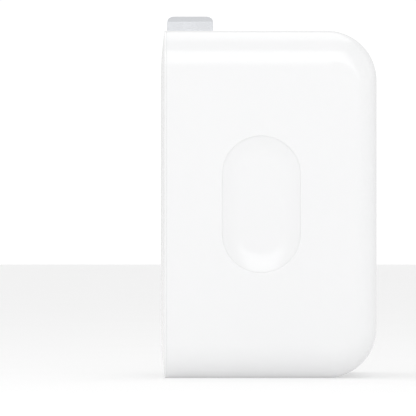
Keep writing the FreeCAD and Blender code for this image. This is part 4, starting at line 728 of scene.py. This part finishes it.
# ---------------------------------------------------------------- folding plug
# Two stamped, nickel-plated brass blades are moulded into a white barrel. The barrel turns on a journal
# at each end, and two flats on it meet the detent spring when the blades are folded or out.

BARREL_HALF, BARREL_RADIUS = 11.0 * MM, 3.9 * MM
JOURNAL_RADIUS, JOURNAL_END = 1.5 * MM, 13.2 * MM
FLAT_REACH, FLAT_HALF = 3.35 * MM, 3.2 * MM
EASE = 0.18 * MM
BARREL_EASE = 0.06 * MM
BARREL_STEPS = 144
LEAST_COSINE = 1e-3  # stands in for the cosine on the far side from a flat, where the barrel is round

half_ends = np.array([JOURNAL_END, JOURNAL_END, JOURNAL_END - EASE, BARREL_HALF, BARREL_HALF,
                      BARREL_HALF - EASE / 3, BARREL_HALF - EASE, FLAT_HALF, FLAT_HALF])
half_radii = np.array([0, JOURNAL_RADIUS - EASE, JOURNAL_RADIUS, JOURNAL_RADIUS, BARREL_RADIUS - EASE,
                       BARREL_RADIUS - EASE / 3, BARREL_RADIUS, BARREL_RADIUS, BARREL_RADIUS])
barrel_y = np.concatenate([-half_ends, half_ends[::-1]])
barrel_round = np.concatenate([half_radii, half_radii[::-1]])
turn = np.linspace(0, 2 * np.pi, BARREL_STEPS + 1)
# The turn starts at +Z and goes towards +X, so the folded flat is a quarter turn on and the open one half.
off_flat = [np.clip(np.cos(turn - at), LEAST_COSINE, None) for at in (np.pi / 2, np.pi)]
flat_radius = np.minimum(BARREL_RADIUS, np.minimum(*(FLAT_REACH / c for c in off_flat)))
radii = np.broadcast_to(barrel_round[:, None], (len(barrel_y), BARREL_STEPS + 1)).copy()
middle_rows = slice(len(half_ends) - 1, len(half_ends) + 1)
radii[middle_rows] = flat_radius
barrel_grid = turned(barrel_y, radii, BARREL_STEPS, (PIVOT_Z, PIVOT_X), 1)
barrel = eased(surface("plug_barrel", [(barrel_grid, None)]), BARREL_EASE)
white_barrel = finish("white_barrel", WHITE, WHITE_SHADE, 1100, 0.3, 0.03, 2e-6)
barrel.data.materials.append(white_barrel)
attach(barrel, "plug")
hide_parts("blade_rotor")

BLADE_HALF, BLADE_HALF_THICKNESS = (blade_high.x - blade_low.x) / 2, (blade_high.y - blade_low.y) / 2
BLADE_REACH, HEEL_REACH, HEEL_HALF, ROOT = blade_high.z - PIVOT_Z, 5.3 * MM, 1.5 * MM, -0.6 * MM
TIP_CORNER, BEVEL_HEIGHT, BEVEL_DEPTH = 0.8 * MM, 0.75 * MM, 0.42 * MM
BLADE_EDGE, BLADE_EASE = 0.1 * MM, 0.05 * MM
SHALLOWEST_EDGE = 24  # degrees, a little less than the turn from the broad face to the tip's bevel
HEEL_POINTS, TIP_POINTS, QUARTER_POINTS, BLADE_STEPS = 7, 12, 5, 14


def blade_sections():
    """Stations along a blade from the end of its heel to its tip, with half width and half thickness.

    The heel ends in an arc about the pivot, the tip has quarter-round corners, and both broad faces slope
    in over the last stretch. The last section has no thickness and closes the tip.
    """
    heel_turn = np.linspace(0, np.arcsin(HEEL_HALF / HEEL_REACH), HEEL_POINTS)
    bevel_turn = np.arcsin(1 - BEVEL_HEIGHT / TIP_CORNER)
    corner_turn = np.concatenate([[0], np.linspace(bevel_turn, np.pi / 2, TIP_POINTS)])
    bevel_start = BLADE_REACH - BEVEL_HEIGHT
    straight = steps(ROOT, (BLADE_REACH - TIP_CORNER, BLADE_STEPS))
    corner = BLADE_REACH - TIP_CORNER + TIP_CORNER * np.sin(corner_turn[1:])
    at = np.concatenate([-HEEL_REACH * np.cos(heel_turn), [ROOT], straight, corner, [BLADE_REACH]])
    wide = np.concatenate([
        HEEL_REACH * np.sin(heel_turn), [HEEL_HALF], np.full(len(straight), BLADE_HALF),
        BLADE_HALF - TIP_CORNER + TIP_CORNER * np.cos(corner_turn[1:]), [BLADE_HALF - TIP_CORNER]])
    lean = np.clip((at - bevel_start) / BEVEL_HEIGHT, 0, 1)
    thick = BLADE_HALF_THICKNESS - BEVEL_DEPTH * lean
    thick[-1] = 0
    return at, wide, thick


def bar_sections(wide, thick, round_off):
    """Rectangles with quarter-round corners, one for each half width and half thickness, run round once.

    Each corner is a quarter turn about a centre that lies its radius inside both sides. The radius is the
    given one, or less where the bar is thinner. Gives the coordinates across the bar and through it.
    """
    edge = np.minimum(round_off, np.minimum(wide, thick))
    turn = np.concatenate([np.linspace(q, q + 1, QUARTER_POINTS) for q in range(4)]) * np.pi / 2
    side_across = np.repeat([1, -1, -1, 1], QUARTER_POINTS)
    side_through = np.repeat([1, 1, -1, -1], QUARTER_POINTS)
    across = side_across * (wide - edge) + edge * np.cos(turn)
    through = side_through * (thick - edge) + edge * np.sin(turn)
    return [np.concatenate([c, c[:, :1]], axis=1) for c in (across, through)]


def blade_grid(middle):
    """The blade's rounded sections, each at its station along the blade."""
    at, wide, thick = (row[:, None] for row in blade_sections())
    x, y = bar_sections(wide, thick, BLADE_EDGE)
    return np.stack([PIVOT_X + x, middle + y, np.broadcast_to(PIVOT_Z + at, x.shape)], axis=-1)


NICKEL, NICKEL_SHADE = (0.88, 0.895, 0.925), (0.85, 0.865, 0.895)
nickel_plate = finish("nickel_plate", NICKEL, NICKEL_SHADE, 9000, 0.13, 0.06, 8e-7, 1.0, drawn=(1, 1, 0.04))
for name, node in (("line_plug_blade", "line_blade"), ("neutral_plug_blade", "neutral_blade")):
    low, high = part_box(node)
    grid = blade_grid((low.y + high.y) / 2)
    blade = eased(surface(name, [(grid, None)]), BLADE_EASE, angle=SHALLOWEST_EDGE)
    blade.data.materials.append(nickel_plate)
    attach(blade, "plug")
    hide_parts(node)


# ---------------------------------------------------------------- outlets
# Each outlet is a drawn stainless shell, slightly behind the case's face, round a black moulded tongue
# with twelve gold-plated pads above and twelve below.

SHELL_WALL, SHELL_ROUND = 0.3 * MM, 0.09 * MM
SHELL_STEPS = 96
SPREAD_RADIUS = 1.0 * MM
TONGUE_TIP_POINTS = 6
TONGUE_HALF, TONGUE_HALF_THICKNESS = 3.345 * MM, 0.35 * MM
TONGUE_EDGE, TONGUE_BASE = 0.12 * MM, 1.6 * MM
DRAWN_STEEL, DRAWN_STEEL_SHADE = (0.62, 0.62, 0.63), (0.55, 0.55, 0.56)
outlet_steel = finish("outlet_steel", DRAWN_STEEL, DRAWN_STEEL_SHADE, 7000, 0.27, 0.1, 1e-6, 1.0,
                      drawn=(0.05, 1, 1))
TONGUE_BLACK, TONGUE_BLACK_SHADE = (0.018, 0.018, 0.019), (0.028, 0.028, 0.03)
black_plastic = finish("black_plastic", TONGUE_BLACK, TONGUE_BLACK_SHADE, 5000, 0.42, 0.12, 4e-6)
gold_plate = finish("gold_plate", (0.93, 0.66, 0.26), (0.85, 0.58, 0.22), 9000, 0.24, 0.08, 1e-6, 1.0)


def oblong_tube(x, radius, straight, middle):
    """An oblong section carried along X: x and radius are the profile's points, run round the spine.

    The points are spread as on an oblong of one set radius, so that tubes of any radius line up.
    """
    spine, angle = oblong(straight, SPREAD_RADIUS, np.linspace(0, 1, SHELL_STEPS + 1))
    x, radius = np.asarray(x)[:, None], np.asarray(radius)[:, None]
    y = middle + spine + radius * np.sin(angle)
    z = MIDDLE + radius * np.cos(angle)
    return np.stack([np.broadcast_to(x, y.shape), y, z], axis=-1)


def tongue_grid(rear, tip, middle):
    """A flat bar with eased edges and a rounded tip, as sections carried along X."""
    turn = np.linspace(0, np.pi / 2, TONGUE_TIP_POINTS)
    at = np.concatenate([[rear, rear], tip - TONGUE_EDGE + TONGUE_EDGE * np.sin(turn), [tip]])
    drop = np.concatenate([[0, 0], TONGUE_EDGE * (1 - np.cos(turn)), [TONGUE_EDGE]])
    shut = np.ones(len(at))
    shut[[0, -1]] = 0
    wide, thick = (TONGUE_HALF - drop)[:, None], ((TONGUE_HALF_THICKNESS - drop) * shut)[:, None]
    y, z = bar_sections(wide, thick, TONGUE_EDGE)
    x = np.broadcast_to(at[:, None], y.shape)
    return np.stack([x, middle + y, MIDDLE + z], axis=-1)


for word, side in (("left", -1), ("right", 1)):
    low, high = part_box(f"{word}_outlet_shell")
    middle, outside = (low.y + high.y) / 2, (high.z - low.z) / 2
    straight, bore = (high.y - low.y) / 2 - outside, outside - SHELL_WALL
    quarter = np.linspace(0, np.pi / 2, QUARTER_POINTS)
    tube_x = [low.x, *(high.x - SHELL_ROUND + SHELL_ROUND * np.sin(quarter)),
              *(high.x - SHELL_ROUND + SHELL_ROUND * np.cos(quarter)), low.x, low.x]
    tube_r = [outside, *(outside - SHELL_ROUND + SHELL_ROUND * np.cos(quarter)),
              *(bore + SHELL_ROUND - SHELL_ROUND * np.sin(quarter)), bore, outside]
    tube = oblong_tube(tube_x, tube_r, straight, middle)
    shell = surface(f"{word}_outlet_tube", [(tube, None)])
    shell.data.set_sharp_from_angle(angle=np.radians(SHARP))
    shell.data.materials.append(outlet_steel)
    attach(shell, "adapter")
    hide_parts(f"{word}_outlet_shell")

    tongue_low, tongue_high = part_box(f"{word}_outlet_tongue")
    base_end = tongue_low.x + TONGUE_BASE
    base_x = [tongue_low.x, tongue_low.x, base_end, base_end]
    base = oblong_tube(base_x, [0, bore, bore, 0], straight, middle)
    bar = tongue_grid(tongue_low.x + SHELL_WALL, tongue_high.x, middle)
    tongue = surface(f"{word}_outlet_insert", [(base, None), (bar, None)])
    tongue.data.set_sharp_from_angle(angle=np.radians(SHARP))
    tongue.data.materials.append(black_plastic)
    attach(tongue, "adapter")
    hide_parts(f"{word}_outlet_tongue")


def dress(material, *nodes):
    """Gives CAD nodes a finish."""
    for node in nodes:
        frame["nodes"][node].data.materials.clear()
        frame["nodes"][node].data.materials.append(material)


dress(gold_plate, "left_outlet_contacts", "right_outlet_contacts", "board_link_pins")


# ---------------------------------------------------------------- inside the case
# Circuit boards, transformer, capacitors and the small parts keep their CAD shapes and get the finish
# that each is bought or made in.

natural_plastic = finish("natural_plastic", (0.72, 0.70, 0.64), (0.66, 0.64, 0.58), 2500, 0.45, 0.1, 4e-6)
contact_brass = finish("contact_brass", (0.78, 0.57, 0.25), (0.66, 0.46, 0.19), 4000, 0.3, 0.12, 1e-6, 1.0,
                       drawn=(1, 1, 0.08))
spring_steel = finish("spring_steel", (0.56, 0.57, 0.58), (0.46, 0.47, 0.49), 5000, 0.3, 0.12, 1e-6, 1.0,
                      drawn=(1, 0.08, 1))
zinc_steel = finish("zinc_steel", (0.66, 0.67, 0.70), (0.55, 0.58, 0.60), 3000, 0.34, 0.14, 2e-6, 1.0)
tinned_lead = finish("tinned_lead", (0.74, 0.74, 0.73), (0.62, 0.62, 0.61), 4000, 0.33, 0.16, 2e-6, 1.0)
can_aluminium = finish("can_aluminium", (0.84, 0.84, 0.85), (0.76, 0.76, 0.77), 5000, 0.3, 0.12, 1.5e-6,
                       1.0, drawn=(1, 1, 0.06))
spreader_aluminium = finish("spreader_aluminium", (0.80, 0.81, 0.82), (0.72, 0.73, 0.74), 3500, 0.38, 0.12,
                            2e-6, 1.0, drawn=(1, 0.05, 1))
ferrite = finish("ferrite", (0.035, 0.034, 0.036), (0.060, 0.058, 0.060), 4500, 0.62, 0.2, 9e-6)
grey_moulding = finish("grey_moulding", (0.085, 0.088, 0.092), (0.12, 0.122, 0.125), 5000, 0.55, 0.16,
                       8e-6)
dark_sleeve = finish("dark_sleeve", (0.016, 0.020, 0.034), (0.024, 0.028, 0.044), 2500, 0.32, 0.1, 3e-6)
yellow_case = finish("yellow_case", (0.80, 0.56, 0.07), (0.74, 0.50, 0.06), 2500, 0.38, 0.1, 3e-6)
brown_case = finish("brown_case", (0.12, 0.055, 0.028), (0.17, 0.08, 0.04), 2500, 0.4, 0.12, 3e-6)
green_coat = finish("green_coat", (0.05, 0.16, 0.08), (0.07, 0.21, 0.11), 1800, 0.4, 0.14, 1.2e-5)
blue_coat = finish("blue_coat", (0.05, 0.17, 0.42), (0.07, 0.22, 0.50), 1800, 0.38, 0.14, 1.2e-5)
barrier_sheet = finish("barrier_sheet", (0.78, 0.75, 0.62), (0.72, 0.69, 0.56), 3000, 0.42, 0.14, 3e-6)
gap_pad = finish("gap_pad", (0.36, 0.42, 0.52), (0.42, 0.48, 0.57), 3500, 0.78, 0.12, 1.4e-5)
chip_ceramic = finish("chip_ceramic", (0.36, 0.29, 0.21), (0.44, 0.36, 0.27), 6000, 0.5, 0.15, 3e-6)


def banded(name, base, shade, across, per_metre, roughness, relief, metallic=0.0):
    """A wound finish: a sine band across one axis lays turns side by side, and the grain breaks them up."""
    material = finish(name, base, shade, 4000, roughness, 0.12, relief, metallic)
    nodes, links = material.node_tree.nodes, material.node_tree.links
    bands = nodes.new("ShaderNodeTexWave")
    bands.bands_direction = across
    bands.inputs["Scale"].default_value = per_metre / np.pi / 2
    links.new(nodes["place"].outputs["Object"], bands.inputs["Vector"])
    links.new(bands.outputs["Fac"], nodes["relief"].inputs["Height"])
    return material


enamelled_copper = finish("enamelled_copper", (0.62, 0.24, 0.09), (0.50, 0.17, 0.06), 6000, 0.26, 0.1,
                          2e-6, 0.85)
winding_tape = banded("winding_tape", (0.78, 0.60, 0.10), (0.70, 0.52, 0.08), "Z", 12000, 0.36, 1.5e-5)


TRACKS_PER_METRE, TRACK_WIDTH = 260.0, 0.035
MASK_GREEN, MASK_PALER, OVER_TRACK = (0.012, 0.105, 0.045), (0.014, 0.125, 0.052), (0.030, 0.200, 0.085)


def board_finish():
    """Green solder mask over copper tracks: short grid-like runs stand up slightly and show paler."""
    material = finish("board_green", MASK_GREEN, (0.010, 0.090, 0.038), 3000, 0.36, 0.1, 1.2e-5)
    nodes, links = material.node_tree.nodes, material.node_tree.links
    shader = nodes["Principled BSDF"]
    tracks = nodes.new("ShaderNodeTexBrick")
    tracks.inputs["Scale"].default_value = TRACKS_PER_METRE
    tracks.inputs["Mortar Size"].default_value = TRACK_WIDTH
    tracks.inputs["Color1"].default_value = (*MASK_GREEN, 1)
    tracks.inputs["Color2"].default_value = (*MASK_PALER, 1)
    tracks.inputs["Mortar"].default_value = (*OVER_TRACK, 1)
    links.new(nodes["place"].outputs["Object"], tracks.inputs["Vector"])
    links.new(tracks.outputs["Color"], shader.inputs["Base Color"])
    links.new(tracks.outputs["Fac"], nodes["relief"].inputs["Height"])
    return material


board_green = board_finish()

dress(natural_plastic, "hinge_retainer")
dress(contact_brass, "line_contact_spring", "neutral_contact_spring")
dress(spring_steel, "detent_spring")
dress(zinc_steel, "retainer_screws")
dress(tinned_lead, "bridge_rectifier_legs", "film_capacitor_leads", "front_bulk_capacitor_leads",
      "inrush_thermistor_leads", "mains_fuse_leads", "optocoupler_legs", "rear_bulk_capacitor_leads",
      "safety_capacitor_leads", "transformer_pins")
dress(can_aluminium, "front_bulk_capacitor_can", "rear_bulk_capacitor_can", "left_output_capacitor",
      "right_output_capacitor")
dress(dark_sleeve, "front_bulk_capacitor_sleeve", "rear_bulk_capacitor_sleeve")
dress(spreader_aluminium, "heat_spreader")
dress(ferrite, "transformer_core", "choke_core")
dress(enamelled_copper, "choke_front_winding", "choke_rear_winding")
dress(winding_tape, "transformer_winding")
dress(black_plastic, "transformer_bobbin", "bridge_rectifier", "power_switch", "optocoupler",
      "left_outlet_controller", "right_outlet_controller")
dress(grey_moulding, "left_outlet_inductor", "right_outlet_inductor")
dress(yellow_case, "film_capacitor")
dress(brown_case, "mains_fuse")
dress(green_coat, "inrush_thermistor")
dress(blue_coat, "safety_capacitor")
dress(barrier_sheet, "insulation_barrier")
dress(gap_pad, "thermal_pad")
dress(chip_ceramic, "outlet_board_passives")
dress(board_green, "main_board", "port_board")


# ---------------------------------------------------------------- studio floor
# A wide plain sheet of pale paper under the adapter, lit a little and evenly from below, like a light
# table, which softens the shade under the case.

FLOOR_HALF = 3.0
FLOOR_GREY, FLOOR_SHADE, FLOOR_GLOW = (0.62, 0.62, 0.62), (0.615, 0.615, 0.615), 0.3
floor_mesh = bpy.data.meshes.new("studio_floor")
floor_mesh.from_pydata(
    [(x, y, 0) for x, y in ((-FLOOR_HALF, -FLOOR_HALF), (FLOOR_HALF, -FLOOR_HALF),
                            (FLOOR_HALF, FLOOR_HALF), (-FLOOR_HALF, FLOOR_HALF))], [], [(0, 1, 2, 3)])
studio_floor = bpy.data.objects.new("studio_floor", floor_mesh)
bpy.context.scene.collection.objects.link(studio_floor)
floor_finish = finish("floor_paper", FLOOR_GREY, FLOOR_SHADE, 400, 0.75, 0.05, 1e-6,
                      Emission_Color=(1, 1, 1, 1), Emission_Strength=FLOOR_GLOW)
floor_mesh.materials.append(floor_finish)
